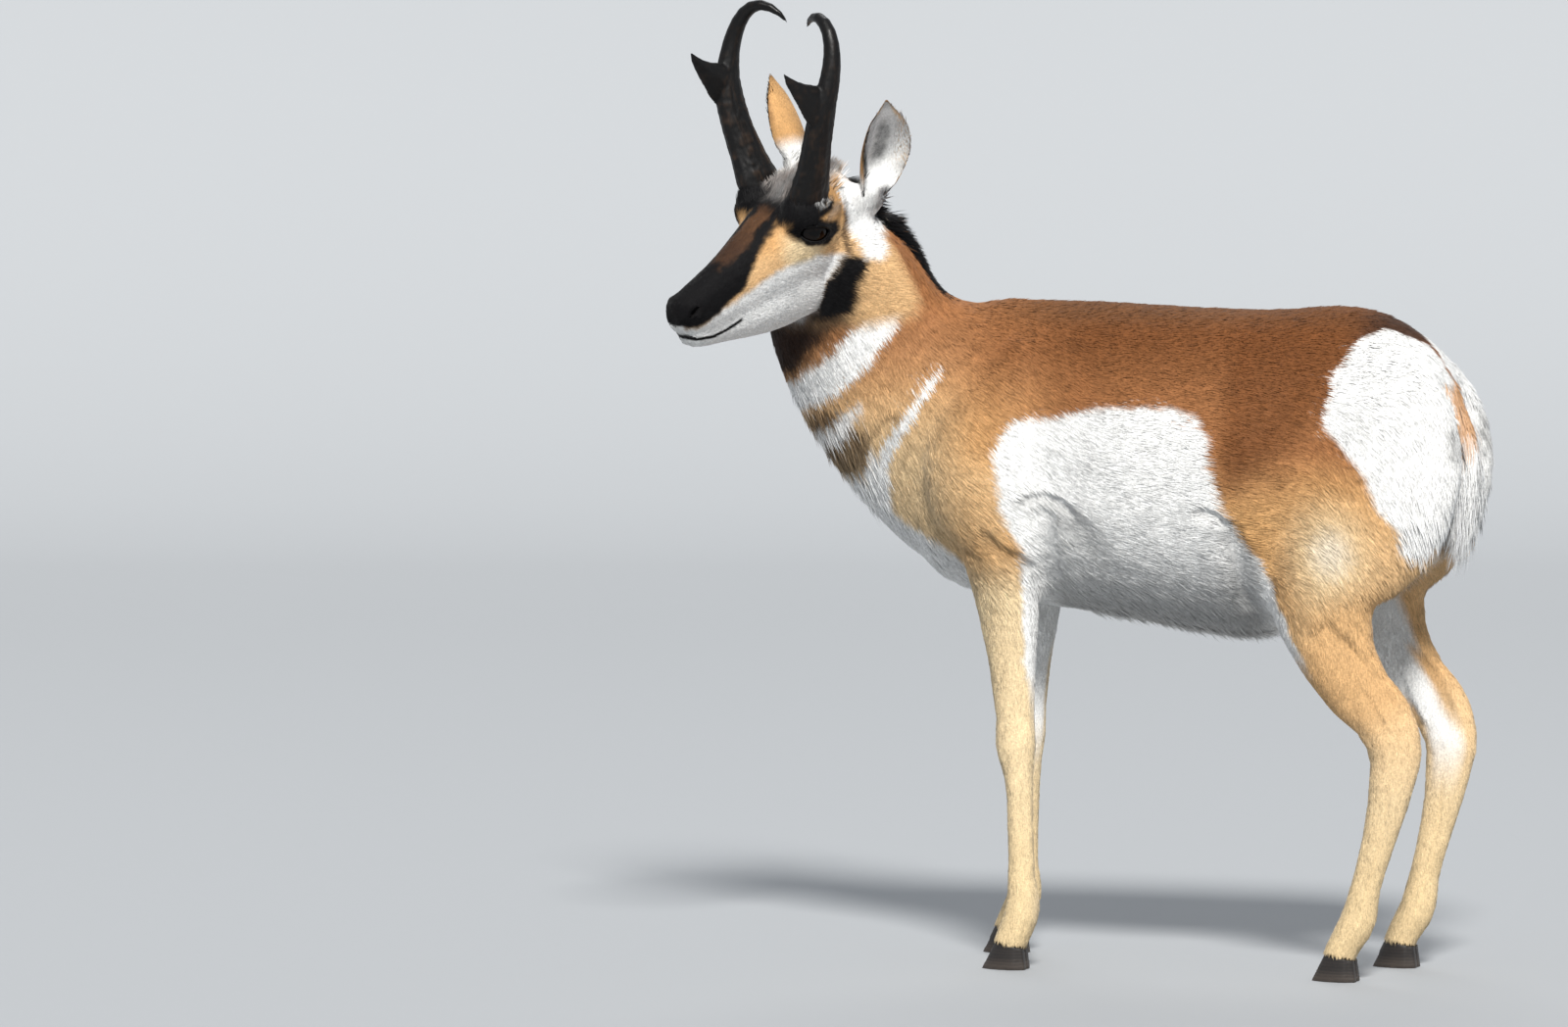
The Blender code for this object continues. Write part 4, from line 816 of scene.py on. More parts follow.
for side in (-1, 1):
    forward, out, up = NOSTRIL_AT
    start = head_at + HEAD_TURN @ Vector((-forward, side * (out + 0.03), up))
    lead = HEAD_TURN @ Vector((0, -side, 0))
    spot = tree.ray_cast(start, lead)[0] or start
    turn = Matrix.Rotation(side * math.radians(NOSTRIL_YAW), 4, "Z") @ Matrix.Rotation(math.radians(NOSTRIL_PITCH), 4, "Y")
    join_form(skin, ball_form(Matrix.Translation(spot) @ HEAD_TURN.to_4x4() @ turn, NOSTRIL_SIZE), "DIFFERENCE")
points, corners = mesh_arrays(skin.data)
at_root = np.zeros(len(points))
for side in (-1, 1):
    root, tip, _ = (np.array(value) for value in ear_axis(side))
    away = np.linalg.norm(points - root - (tip - root) * 0.06, axis=1)
    at_root = np.maximum(at_root, step_up(-away, -0.056, -0.042))
points = relax(points, corners, 40, at_root)
points -= surface_normals(points, corners) * coat_depth(points)[:, None]
skin.data.vertices.foreach_set("co", points.ravel())

keep = skin.vertex_groups.new(name="spare")
spare = 1 - 0.9 * head_share(points)
for level in range(11):
    keep.add(np.nonzero(np.round((1 - spare) * 10) == level)[0].tolist(), max(1 - level / 10, 0.05), "REPLACE")
thinner = skin.modifiers.new("thin", "DECIMATE")
thinner.vertex_group, thinner.vertex_group_factor = "spare", 0.01
thinner.ratio = SKIN_TRIANGLES / len(corners)
settle(skin)
drop_scraps(skin)
points, corners = mesh_arrays(skin.data)
bpy.context.view_layer.objects.active = skin
skin.select_set(True)
bpy.ops.object.mode_set(mode="EDIT")
bpy.ops.mesh.select_all(action="SELECT")
bpy.ops.uv.smart_project(angle_limit=math.radians(80), island_margin=0.001, area_weight=0.5)
bpy.ops.object.mode_set(mode="OBJECT")


def paint(mesh, colours):
    """Stores a colour for every point of a mesh, for its material to read."""
    layer = mesh.color_attributes.new("Coat", "FLOAT_COLOR", "POINT")
    layer.data.foreach_set("color", np.hstack([colours, np.ones((len(colours), 1))]).ravel())


def haired(name, roughness, sheen):
    """Hair seen as a soft rough surface in the colour of its place, with a grain as fine as a hair lock."""
    made, tree, shader = new_material(name, "#A9703F", roughness, Sheen_Weight=sheen, Sheen_Roughness=0.5)
    shader.inputs["Specular IOR Level"].default_value = 0.15
    stored = add_node(tree, "ShaderNodeAttribute", {"attribute_name": "Coat"})
    spot = add_node(tree, "ShaderNodeTexCoord")
    grain = add_node(tree, "ShaderNodeTexNoise", Vector=spot.outputs["Object"], Scale=420.0, Detail=3.0)
    shade = add_node(
        tree, "ShaderNodeMapRange", Value=grain.outputs["Fac"], From_Min=0.3, From_Max=0.7, To_Min=0.82, To_Max=1.15
    )
    mixed = add_node(
        tree, "ShaderNodeVectorMath", {"operation": "SCALE"}, Vector=stored.outputs["Color"], Scale=shade.outputs["Result"]
    )
    tree.links.new(mixed.outputs["Vector"], shader.inputs["Base Color"])
    bump = add_node(tree, "ShaderNodeBump", Height=grain.outputs["Fac"], Strength=0.5, Distance=0.0006)
    tree.links.new(bump.outputs["Normal"], shader.inputs["Normal"])
    return made


paint(skin.data, markings(points, surface_normals(points, corners)))
skin.data.materials.clear()
skin.data.materials.append(haired("haired hide", 0.80, 0.05))
for face in skin.data.polygons:
    face.use_smooth = True
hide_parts(*FLESH, *EARS)
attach(skin, "root")

# --- The coat ---
# Coarse hollow guard hair in tufts that lie over one another like thatch, rooted in the hide.
# It is short and flat on face and legs, deeper on trunk and neck, and longest on the rump.

COAT_TUFTS = 286000
TUFTS_A_PIECE = 48000


def region_shares(points):
    """How far points belong to the rump, the lower legs, the head and the ears, each from 0 to 1."""
    x, y, z = on_body(points).T
    rump = inside(RUMP, x, z, 0.02)
    leg = step_up(-z, -0.52, -0.36)
    return rump, leg, step_up(head_share(points), 0.2, 0.8), ear_share(points)


def tuft_sizes(points):
    """Length, width and rise of the tufts, and how close they grow."""
    rump, leg, head, ear = region_shares(points)
    muzzle = step_up(on_head(points)[:, 0], -0.02, 0.12)
    table = {
        "length": (0.0150, 0.0185, 0.0078, 0.0100, 0.0044, 0.0040),
        "width": (0.0021, 0.0019, 0.0017, 0.0015, 0.0010, 0.0011),
        "rise": (0.14, 0.13, 0.09, 0.12, 0.10, 0.04),
        "growth": (1.0, 1.7, 1.1, 2.0, 4.0, 2.6),
    }
    sizes = []
    for trunk, behind, low, cheek, nose, at_ear in table.values():
        value = trunk + (behind - trunk) * rump
        value = value + (low - value) * leg
        value = value + (cheek + (nose - cheek) * muzzle - value) * head
        sizes.append(value + (at_ear - value) * ear)
    return sizes


def lie_of_coat(points, normals):
    """The way the hair points, along the skin."""
    x, y, z = on_body(points).T
    ways = np.tile([1.0, 0.0, -0.22], (len(points), 1))

    def turn(way, share):
        nonlocal ways
        ways = ways + (np.array(way) - ways) * np.clip(share, 0, 1)[:, None]

    turn((0.75, 0.0, -0.60), step_up(-x, 0.16, 0.30))
    turn((0.45, 0.0, -0.85), step_up(-x, 0.38, 0.50))
    turn((0.55, 0.0, -0.80), step_up(x, 0.05, 0.16) * step_up(-z, -0.82, -0.70))
    turn((0.15, 0.0, -1.00), step_up(x, 0.20, 0.27))
    turn((0.10, 0.0, -1.00), step_up(-z, -0.56, -0.44) * (1 - step_up(-np.abs(y), -0.06, -0.03)))
    turn((0.95, 0.0, 0.05), step_up(z, 0.86, 0.89) * step_up(-x, -0.24, -0.18) * step_up(x, -0.40, -0.30))
    forward, out, up = on_head(points).T
    flow = np.tile([1.0, 0.0, 0.10], (len(points), 1))
    flow = flow + ([0.8, 0.0, -0.45] - flow) * (step_up(-up, -0.005, 0.04) * step_up(-forward, -0.10, 0.0))[:, None]
    flow = flow + ([1.0, 0.0, -0.10] - flow) * step_up(-up, 0.03, 0.06)[:, None] * step_up(forward, 0.06, 0.12)[:, None]
    head = step_up(head_share(points), 0.2, 0.8)[:, None]
    ways = ways * (1 - head) + flow @ INTO_HEAD * head
    for side in (-1, 1):
        root, tip, _ = (np.array(value) for value in ear_axis(side))
        away, along = path_distance(points, [root, tip])
        near = (step_up(-away, -0.050, -0.040) * step_up(along, 0.06, 0.16))[:, None]
        near = np.maximum(near, step_up(-np.linalg.norm(points - root, axis=1), -0.040, -0.024)[:, None])
        ways = ways + ((tip - root) / np.linalg.norm(tip - root) - ways) * near
    ways -= normals * np.sum(ways * normals, axis=1, keepdims=True)
    return unit(ways)


def skin_samples(mesh, count, growth, seed):
    """Roots spread over a mesh: their places, outward ways and spots on its unwrap."""
    points, corners = mesh_arrays(mesh)
    loops = np.empty(len(mesh.loop_triangles) * 3, np.int32)
    mesh.loop_triangles.foreach_get("loops", loops)
    spots = np.empty(len(mesh.loops) * 2, np.float32)
    mesh.uv_layers.active.data.foreach_get("uv", spots)
    spots = spots.reshape(-1, 2)[loops].reshape(-1, 3, 2)
    ways = surface_normals(points, corners)
    a, b, c = (points[corners[:, i]] for i in range(3))
    area = np.linalg.norm(np.cross(b - a, c - a), axis=1) / 2
    total = np.cumsum(area * growth((a + b + c) / 3))
    draw = np.random.default_rng(seed)
    face = np.searchsorted(total, (np.arange(count) + draw.random(count)) / count * total[-1])
    face = np.minimum(face, len(corners) - 1)
    u, v = draw.random((2, count))
    over = u + v > 1
    u, v = np.where(over, 1 - u, u), np.where(over, 1 - v, v)
    share = np.stack([1 - u - v, u, v], axis=1)[:, :, None]
    places = (points[corners[face]] * share).sum(axis=1)
    outward = unit((ways[corners[face]] * share).sum(axis=1))
    return places, outward, (spots[face] * share).sum(axis=1), draw


def mesh_from_arrays(name, points, corners, uv, colours, facing, material):
    """A mesh of loose triangles with a colour, a spot on the unwrap and a way to face for every point."""
    mesh = bpy.data.meshes.new(name)
    mesh.vertices.add(len(points))
    mesh.vertices.foreach_set("co", points.ravel())
    mesh.loops.add(corners.size)
    mesh.loops.foreach_set("vertex_index", corners.ravel())
    mesh.polygons.add(len(corners))
    mesh.polygons.foreach_set("loop_start", np.arange(0, corners.size, 3))
    mesh.polygons.foreach_set("use_smooth", np.ones(len(corners), bool))
    mesh.update()
    layer = mesh.uv_layers.new(name="OFBake")
    layer.data.foreach_set("uv", uv[corners.ravel()].astype(np.float32).ravel())
    paint(mesh, colours)
    mesh.normals_split_custom_set_from_vertices(facing.astype(np.float32))
    mesh.materials.append(material)
    found = place_object(name, mesh)
    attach(found, "root")
    return found


PATCH = 0.003  # width of a tuft's patch on the unwrap
TUFT_TILT = 0.16  # how far tufts are turned to the side, as they catch the light
TUFT_FACES = np.array([(0, 2, 3), (1, 3, 2), (0, 1, 2), (0, 3, 1)])


def grow_tufts(name, roots, outward, lie, length, width, rise, colours, spots, draw, material):
    """Tapered tufts of four points each: a root edge, a ridge a third along, and a tip."""
    count = len(roots)
    across = np.cross(lie, outward)
    length, width, rise = (np.reshape(value, (-1, 1)) for value in (length, width, rise))
    low = roots - outward * 0.0004
    tip = roots + (lie + outward * rise) * length
    ridge = roots + lie * length * 0.34 + outward * (rise * length * 0.42 + width * 0.30)
    points = np.stack([low - across * width / 2, low + across * width / 2, ridge, tip], axis=1).reshape(-1, 3)
    # Each tuft is painted darker at its root and a little lighter at its tip: painted shade deep in the coat and
    # painted light on the tips.
    shade = np.array([0.86, 0.86, 1.0, 1.06])[None, :, None]
    tint = np.clip(colours[:, None, :] * shade, 0, 0.95).reshape(-1, 3)
    reach = PATCH * np.array([(-0.35, -0.5), (0.35, -0.5), (0.0, 0.0), (0.0, 0.5)])
    uv = np.clip((spots[:, None, :] + reach[None]).reshape(-1, 2), 0, 1)
    tilt = draw.normal(scale=TUFT_TILT, size=(count, 1))
    facing = np.repeat(unit(outward - lie * rise + across * tilt), 4, axis=0)
    pieces = []
    for number, start in enumerate(range(0, count, TUFTS_A_PIECE)):
        some = min(TUFTS_A_PIECE, count - start)
        span = slice(start * 4, (start + some) * 4)
        corners = (np.arange(some)[:, None, None] * 4 + TUFT_FACES[None]).reshape(-1, 3).astype(np.int32)
        pieces.append(mesh_from_arrays(f"{name}_{number + 1}", points[span], corners, uv[span], tint[span], facing[span], material))
    return pieces


def hair_colours(points, normals, draw, contrast=1.0):
    """The coat's colour at each root, painted shade and highlights included, a little lighter or darker from tuft to
    tuft.
    """
    base = markings(points, normals)
    pale = step_up(base.min(axis=1), 0.35, 0.65)
    spread = contrast * (0.17 - 0.12 * pale)
    clump = 0.6 * mottle(points, 0.006, 21) + 0.4 * mottle(points, 0.020, 22)
    shade = 1 + spread * (draw.normal(size=len(points)) * 0.6 + clump)
    return base * np.clip(shade, 0.45, 1.5)[:, None]


roots, outward, spots, draw = skin_samples(skin.data, COAT_TUFTS, lambda at: tuft_sizes(at)[3], 7)
eyes = [(Vector(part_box(name)[0]) + Vector(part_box(name)[1])) / 2 for name in ("eye_left", "eye_right")]
to_eye = np.min([np.linalg.norm(roots - np.array(eye), axis=1) for eye in eyes], axis=0)
clear = to_eye > 0.0285
along, across, ear, _ = ear_places(roots)
over = np.abs(across) / np.maximum(np.interp(along, *EAR_WIDTHS), 0.003)
cups = np.array([np.array(ear_axis(side)[2]) for side in (-1, 1)])
level = np.max(np.abs(outward @ cups.T), axis=1)
clear &= ~((ear > 0.3) & (((over > 0.72) & (level < 0.60)) | (along > 0.955)))
lips, _ = path_distance(on_head(roots), MOUTH)
clear &= (lips > 0.0022) & (fold_depths(roots)[1] < 0.72)
for side in (-1, 1):
    away = on_head(roots) - np.array(NOSTRIL_AT)
    clear &= np.linalg.norm(away[:, [0, 2]], axis=1) + 0.02 * (np.abs(away[:, 1]) > 0.015) > 0.009
roots, outward, spots, to_eye = roots[clear], outward[clear], spots[clear], to_eye[clear]
length, width, rise, _ = tuft_sizes(roots)
length = length * (0.35 + 0.65 * step_up(to_eye, 0.029, 0.044))
lie = lie_of_coat(roots, outward)
swing = 0.20 * mottle(roots, 0.014, 31) + 0.11 * draw.normal(size=len(roots))
lie = unit(lie + np.cross(outward, lie) * swing[:, None])
length = length * draw.uniform(0.75, 1.2, len(roots))
rise = rise * draw.uniform(0.5, 1.35, len(roots)) * (1 + 0.35 * mottle(roots, 0.011, 32))
guard_hair = haired("guard hair", 0.66, 0.08)
coat = grow_tufts(
    "coat", roots, outward, lie, length, width, rise, hair_colours(roots, outward, draw), spots, draw, guard_hair
)

# --- The long hair ---
# Locks of longer hair: the dark mane on the nape, the collar round the foot of each horn, the crown,
# the lining of the ears, the tail with its white brush, and the fringe under the belly.

LOCK_LEVELS, LOCK_WIDTHS = (0.0, 0.35, 0.72), (0.75, 1.0, 0.62)
LOCK_FACES = [(0, 1, 2)]
for level in (0, 3):
    for k in range(3):
        a, b = level + k, level + (k + 1) % 3
        LOCK_FACES += [(a, b + 3, b), (a, a + 3, b + 3)]
LOCK_FACES += [(7, 6, 9), (8, 7, 9), (6, 8, 9)]


def grow_locks(name, roots, outward, leads, bends, lengths, widths, colours, spots, material):
    """Closed three-sided locks that taper to a point and bend on their way."""
    count = len(roots)
    lengths, widths = np.reshape(lengths, (-1, 1)), np.reshape(widths, (-1, 1))
    across = unit(np.cross(leads, outward))
    rings = []
    for level, share in zip(LOCK_LEVELS, LOCK_WIDTHS):
        middle = roots + (leads * level + bends * level**2) * lengths
        rings += [middle + across * widths * share / 2, middle + outward * widths * share * 0.45, middle - across * widths * share / 2]
    rings.append(roots + (leads + bends) * lengths)
    points = np.stack(rings, axis=1).reshape(-1, 3)
    # Each lock is painted darker at its root and a little lighter at its tip: painted shade deep in the hair and
    # painted light on the tips.
    shade = np.array([0.8] * 3 + [0.95] * 3 + [1.03] * 3 + [1.08])[None, :, None]
    tint = np.clip(colours[:, None, :] * shade, 0, 0.95).reshape(-1, 3)
    reach = PATCH * np.array([(0.35, -0.5), (0, -0.5), (-0.35, -0.5), (0.35, 0), (0, 0), (-0.35, 0), (0.2, 0.3), (0, 0.3), (-0.2, 0.3), (0, 0.5)])
    uv = np.clip((spots[:, None, :] + reach[None]).reshape(-1, 2), 0, 1)
    sides = np.array([0.5, 0.0, -0.5] * 3 + [0.0])[None, :, None]
    facing = unit(outward[:, None, :] + across[:, None, :] * sides).reshape(-1, 3)
    corners = (np.arange(count)[:, None, None] * 10 + np.array(LOCK_FACES)[None]).reshape(-1, 3).astype(np.int32)
    return mesh_from_arrays(name, points, corners, uv, tint, facing, material)


def shades(colour_name, count, draw, spread=0.2):
    return COAT[colour_name][None, :] * np.clip(1 + spread * draw.normal(size=(count, 1)), 0.4, 1.8)


def head_ways(ways):
    """Ways on the head, given as backward, to the animal's right and up, turned into the frame."""
    return unit(np.atleast_2d(np.array(ways, float)) @ INTO_HEAD)


def mane_bed(points):
    """How far points lie on the strip of the nape that bears the mane."""
    x, y, z = on_body(points).T
    middle = np.interp(x, [-0.56, -0.52, -0.47, -0.42], [-0.050, -0.032, -0.012, -0.004])
    along = step_up(x, -0.575, -0.560) * step_up(-x, 0.425, 0.440)
    return along * step_up(-np.abs(y - middle), -0.024, -0.016) * step_up(z - 0.885 + (x + 0.46) * 0.85, 0.0, 0.012)


soft_hair = haired("long soft hair", 0.60, 0.08)

roots, outward, spots, draw = skin_samples(skin.data, 3800, lambda at: mane_bed(at) + 1e-9, 41)
x = on_body(roots)[:, 0]
high = step_up(-x, 0.455, 0.54)
back = unit(np.column_stack([np.full(len(x), 0.80), np.full(len(x), 0.22), -0.20 - 0.35 * (1 - high)]))
leads = unit(outward * (0.22 + 0.38 * high)[:, None] + back + 0.14 * draw.normal(size=(len(x), 3)))
colours = shades("black", len(x), draw, 0.3)
pale = (draw.random(len(x)) < 0.02)[:, None]
colours = np.where(pale, shades("brown", len(x), draw), colours)
grow_locks(
    "mane", roots - outward * 0.001, outward, leads, back * 0.25 - outward * 0.12,
    (0.010 + 0.018 * high) * draw.uniform(0.7, 1.15, len(x)), 0.0015, colours, spots, soft_hair,
)


def horn_places(points):
    """How far points lie from the middle of the nearer horn's foot, in half widths."""
    forward, out, _ = on_head(points).T
    return np.hypot((forward + 0.011) / 0.033, (out - 0.044) / 0.0205)


def collar_bed(points):
    away = horn_places(points)
    return step_up(away, 0.80, 0.95) * step_up(-away, -1.50, -1.25) * step_up(on_head(points)[:, 2], 0.030, 0.042)


roots, outward, spots, draw = skin_samples(skin.data, 3400, lambda at: collar_bed(at) + 1e-9, 43)
forward, out, up = on_head(roots).T
side = np.sign((roots - np.array(head_at)) @ INTO_HEAD.T[:, 1])
inward = np.column_stack([forward + 0.011, side * (0.044 - out), np.zeros(len(out))])
leads = unit(head_ways(np.column_stack([0.0 * out, side * 0.25, np.ones(len(out))])) + unit(inward @ INTO_HEAD) * 0.42 + 0.10 * draw.normal(size=(len(out), 3)))
colours = hair_colours(roots, outward, draw)
grow_locks(
    "horn_collar", roots - outward * 0.001, outward, leads, leads * 0.0 + head_ways((0.0, 0.0, 1.0)) * 0.1,
    0.0135 * draw.uniform(0.5, 1.3, len(out)), 0.0012, colours, spots, soft_hair,
)


def crown_bed(points):
    forward, out, up = on_head(points).T
    rear = step_up(-forward, 0.040, 0.060) * step_up(up, 0.045, 0.055) * step_up(-out, -0.060, -0.045)
    between = step_up(-out, -0.030, -0.018) * step_up(up, 0.045, 0.055) * step_up(-forward, -0.015, 0.005)
    return np.maximum(rear, between) * (1 - ear_share(points)) * step_up(head_share(points), 0.3, 0.7)


roots, outward, spots, draw = skin_samples(skin.data, 3600, lambda at: crown_bed(at) + 1e-9, 47)
count = len(roots)
leads = unit(outward * 0.55 + head_ways((0.75, 0.0, 0.25)) + 0.22 * draw.normal(size=(count, 3)) + 0.25 * mottle(roots, 0.012, 48)[:, None] * head_ways((0, 1, 0)))
grow_locks(
    "crown_hair", roots - outward * 0.001, outward, leads, head_ways((0.4, 0.0, 0.1)) * 0.3,
    0.0175 * draw.uniform(0.6, 1.2, count), 0.0014, hair_colours(roots, outward, draw), spots, soft_hair,
)


def cup_bed(points):
    along, across, share, _ = ear_places(points)
    over = np.abs(across) / np.maximum(np.interp(along, *EAR_WIDTHS), 0.003)
    return share * step_up(over, 0.35, 0.7) * step_up(-along, -0.92, -0.75) * step_up(along, 0.20, 0.32)


roots, outward, spots, draw = skin_samples(skin.data, 5200, lambda at: cup_bed(at) + 1e-9, 53)
along, across, _, radial = ear_places(roots)
inner = np.sum(outward * radial, axis=1) < -0.25
roots, outward, spots, along, radial = roots[inner], outward[inner], spots[inner], along[inner], radial[inner]
side = np.where((roots - np.array(head_at)) @ INTO_HEAD.T[:, 1] > 0, 1, -1)
ways = {s: [np.array(v) for v in ear_axis(s)] for s in (-1, 1)}
run = unit(np.array([ways[s][1] - ways[s][0] for s in side]))
faces = np.array([ways[s][2] for s in side])
leads = unit(run * 0.85 - radial * 0.50 + faces * 0.22 + 0.14 * draw.normal(size=roots.shape))
grow_locks(
    "ear_lining", roots - outward * 0.0006, outward, leads, run * 0.2 - faces * 0.12,
    0.0150 * draw.uniform(0.5, 1.2, len(roots)) * (1 - 0.45 * along), 0.0009, shades("white", len(roots), draw, 0.08), spots, soft_hair,
)

TAIL_LINE = [(0.236, 0.0, 0.832), (0.262, 0.0, 0.795), (0.280, 0.0, 0.750), (0.284, 0.0, 0.705), (0.280, 0.0, 0.665), (0.274, 0.0, 0.640)]


def tail_bed(points):
    away, _ = path_distance(on_body(points), TAIL_LINE)
    return step_up(-away, -0.034, -0.020)


roots, outward, spots, draw = skin_samples(skin.data, 6000, lambda at: tail_bed(at) + 1e-9, 59)
x, y, z = on_body(roots).T
count = len(roots)
low = step_up(-z, -0.80, -0.66)
spread = np.clip(y / 0.020, -1.2, 1.2)
leads = unit(np.column_stack([0.30 - 0.10 * low, 0.30 * spread, -1.0 - 0 * x]) + 0.12 * draw.normal(size=(count, 3)) + outward * 0.16)
bends = np.column_stack([-0.26 - 0.05 * low, -0.16 * spread, -0.22 + 0 * x])
colours = shades("white", count, draw, 0.06)
stripe = step_up(-np.abs(y + 0.010 + 0.004 * mottle(roots, 0.02, 60)), -0.0165, -0.0095) * step_up(z, 0.715, 0.745)
colours += (shades("orange", count, draw, 0.12) - colours) * (0.85 * stripe)[:, None]
dusky = step_up(-np.abs(np.abs(y + 0.004) - 0.027), -0.012, -0.004) * step_up(z, 0.68, 0.70) * step_up(-z, -0.785, -0.765)
colours += (shades("dark brown", count, draw, 0.3) - colours) * (dusky * (draw.random(count) < 0.55))[:, None]
grow_locks(
    "tail_hair", roots - outward * 0.001, outward, leads, bends,
    (0.032 + 0.030 * low) * draw.uniform(0.6, 1.2, count), 0.0021, colours, spots, soft_hair,
)


def fringe_bed(points):
    """The edge of the rump patch over the thighs, the line of the belly and the lower front of the neck."""
    x, y, z = on_body(points).T
    belly = step_up(x, -0.26, -0.20) * step_up(-x, -0.02, 0.02) * step_up(-z, -0.505, -0.480) * step_up(-np.abs(y), -0.08, -0.04)
    seat = step_up(x, 0.20, 0.225) * step_up(-z, -0.665, -0.625) * step_up(z, 0.565, 0.585) * step_up(np.abs(y), 0.015, 0.03)
    throat = step_up(-x, 0.50, 0.53) * step_up(-np.abs(y + 0.02), -0.07, -0.04) * step_up(-z, -0.80, -0.74) * step_up(z, 0.60, 0.64) * 0.5
    return np.maximum(np.maximum(belly, seat), throat) * (1 - head_share(points))


roots, outward, spots, draw = skin_samples(skin.data, 5200, lambda at: fringe_bed(at) + 1e-9, 61)
count = len(roots)
lie = lie_of_coat(roots, outward)
leads = unit(lie + outward * 0.22 + 0.10 * draw.normal(size=(count, 3)))
grow_locks(
    "fringe", roots - outward * 0.001, outward, leads, np.array([(0.05, 0.0, -0.20)]) - outward * 0.08,
    0.026 * draw.uniform(0.5, 1.2, count), 0.0018, hair_colours(roots, outward, draw), spots, soft_hair,
)

# --- The eyes ---
# Dark brown balls under a wet clear skin, with a long level pupil, set deep between bare black lids.
# The rims of the lids are wet black skin, and long lashes shade the eye from above.

PUPIL_LONG, PUPIL_HIGH, IRIS = 0.0105, 0.0042, 0.0165
wet_eye, tree, shader = new_material(
    "wet dark eye", "#120B08", 0.08, Coat_Weight=0.12, Coat_Roughness=0.02, Specular_IOR_Level=0.12
)
stored = add_node(tree, "ShaderNodeAttribute", {"attribute_name": "Coat"})
tree.links.new(stored.outputs["Color"], shader.inputs["Base Color"])
lid_skin, tree, shader = new_material("bare black lid skin", "#060506", 0.42, Specular_IOR_Level=0.25)
spot = add_node(tree, "ShaderNodeTexCoord")
crinkle = add_node(tree, "ShaderNodeTexNoise", Vector=spot.outputs["Object"], Scale=900.0, Detail=2.0)
bump = add_node(tree, "ShaderNodeBump", Height=crinkle.outputs["Fac"], Strength=0.3, Distance=0.0003)
tree.links.new(bump.outputs["Normal"], shader.inputs["Normal"])


def keep_form(name, form, material, smooth=True):
    """Turns a form into a smooth object that rides with the animal."""
    bmesh.ops.recalc_face_normals(form, faces=form.faces)
    mesh = bpy.data.meshes.new(name)
    form.to_mesh(mesh)
    form.free()
    mesh.materials.append(material)
    for face in mesh.polygons:
        face.use_smooth = smooth
    found = place_object(name, mesh)
    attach(found, "root")
    return found


for name, side in (("left", -1), ("right", 1)):
    place = eye_frame(side)
    form = bmesh.new()
    bmesh.ops.create_uvsphere(form, u_segments=64, v_segments=48, radius=EYE_RADIUS, matrix=place)
    ball = keep_form(f"eyeball_{name}", form, wet_eye)
    points, _ = mesh_arrays(ball.data)
    local = (points - np.array(place.translation)) @ np.array(place.to_3x3())
    pupil = step_up(-np.hypot(local[:, 0] / PUPIL_LONG, local[:, 1] / PUPIL_HIGH), -1.1, -0.9)
    iris = step_up(-np.hypot(local[:, 0], local[:, 1]), -IRIS, -IRIS + 0.002)
    colour = np.array(light_value("#070505"))[None, :] + iris[:, None] * (np.array(light_value("#100A07")) - np.array(light_value("#070505")))
    paint(ball.data, colour * (1 - 0.9 * pupil[:, None]))
    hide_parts(f"eye_{name}")

    line = lid_line(EYE_RADIUS + 0.0016, 0.985, 72)
    form = bmesh.new()
    rows = []
    for k, point in enumerate(line):
        lead = (line[(k + 1) % 72] - line[k - 1]).normalized()
        out = point.normalized()
        cross = lead.cross(out).normalized()
        ring = [point + (out * math.cos(a) + cross * math.sin(a)) * 0.0013 for a in np.linspace(0, 2 * math.pi, 9)[:-1]]
        rows.append([form.verts.new(place @ vert) for vert in ring])
    for k in range(72):
        for i in range(8):
            a, b = rows[k], rows[(k + 1) % 72]
            form.faces.new((a[i], a[(i + 1) % 8], b[(i + 1) % 8], b[i]))
    keep_form(f"lid_rim_{name}", form, lid_skin)

    draw = np.random.default_rng(71 + side)
    upper = [point for point in lid_line(EYE_RADIUS + 0.0024, 1.0, 400) if point.y > 0.0005]
    picks = draw.choice(len(upper), 90)
    roots = np.array([upper[k] for k in picks]) + draw.normal(size=(90, 3)) * 0.0002
    outward = unit(roots)
    leads = unit(outward * 0.85 + np.array([(0, 0.45, 0.25)]) + np.column_stack([roots[:, 0] * 16, np.zeros(90), np.zeros(90)]) * 0.8 + 0.08 * draw.normal(size=(90, 3)))
    turn = np.array(place.to_3x3()).T
    grow_locks(
        f"lashes_{name}", np.array(place.translation) + roots @ turn, outward @ turn, leads @ turn,
        np.array([(0.0, -0.35, 0.15)]) @ turn + np.zeros((90, 3)), 0.0125 * draw.uniform(0.6, 1.2, 90), 0.00065,
        shades("black", 90, draw), np.full((90, 2), 0.5), soft_hair,
    )

# --- The horns ---
# Black sheaths of fused hair over bony cores: rough with long ridges like bark at the foot, worn to a
# dull polish on the prong and the hook. They are drawn from the modelled forms with the facets smoothed away.

HORN_LINE = [
    (0.011, 0.043, 0.044), (0.009, 0.051, 0.070), (0.011, 0.065, 0.105), (0.014, 0.080, 0.150), (0.021, 0.091, 0.190),
    (0.036, 0.096, 0.223), (0.047, 0.095, 0.246), (0.058, 0.088, 0.270), (0.067, 0.074, 0.288), (0.072, 0.057, 0.295),
    (0.077, 0.040, 0.291), (0.080, 0.028, 0.283), (0.082, 0.019, 0.272),
]
RIDGE, GRAIN = 0.00085, 0.0017
sheath, tree, shader = new_material("worn black horn sheath", "#0D0B0A", 0.36, Specular_IOR_Level=0.3)
stored = add_node(tree, "ShaderNodeAttribute", {"attribute_name": "Coat"})
tree.links.new(stored.outputs["Color"], shader.inputs["Base Color"])
worn = add_node(tree, "ShaderNodeAttribute", {"attribute_name": "Worn"})
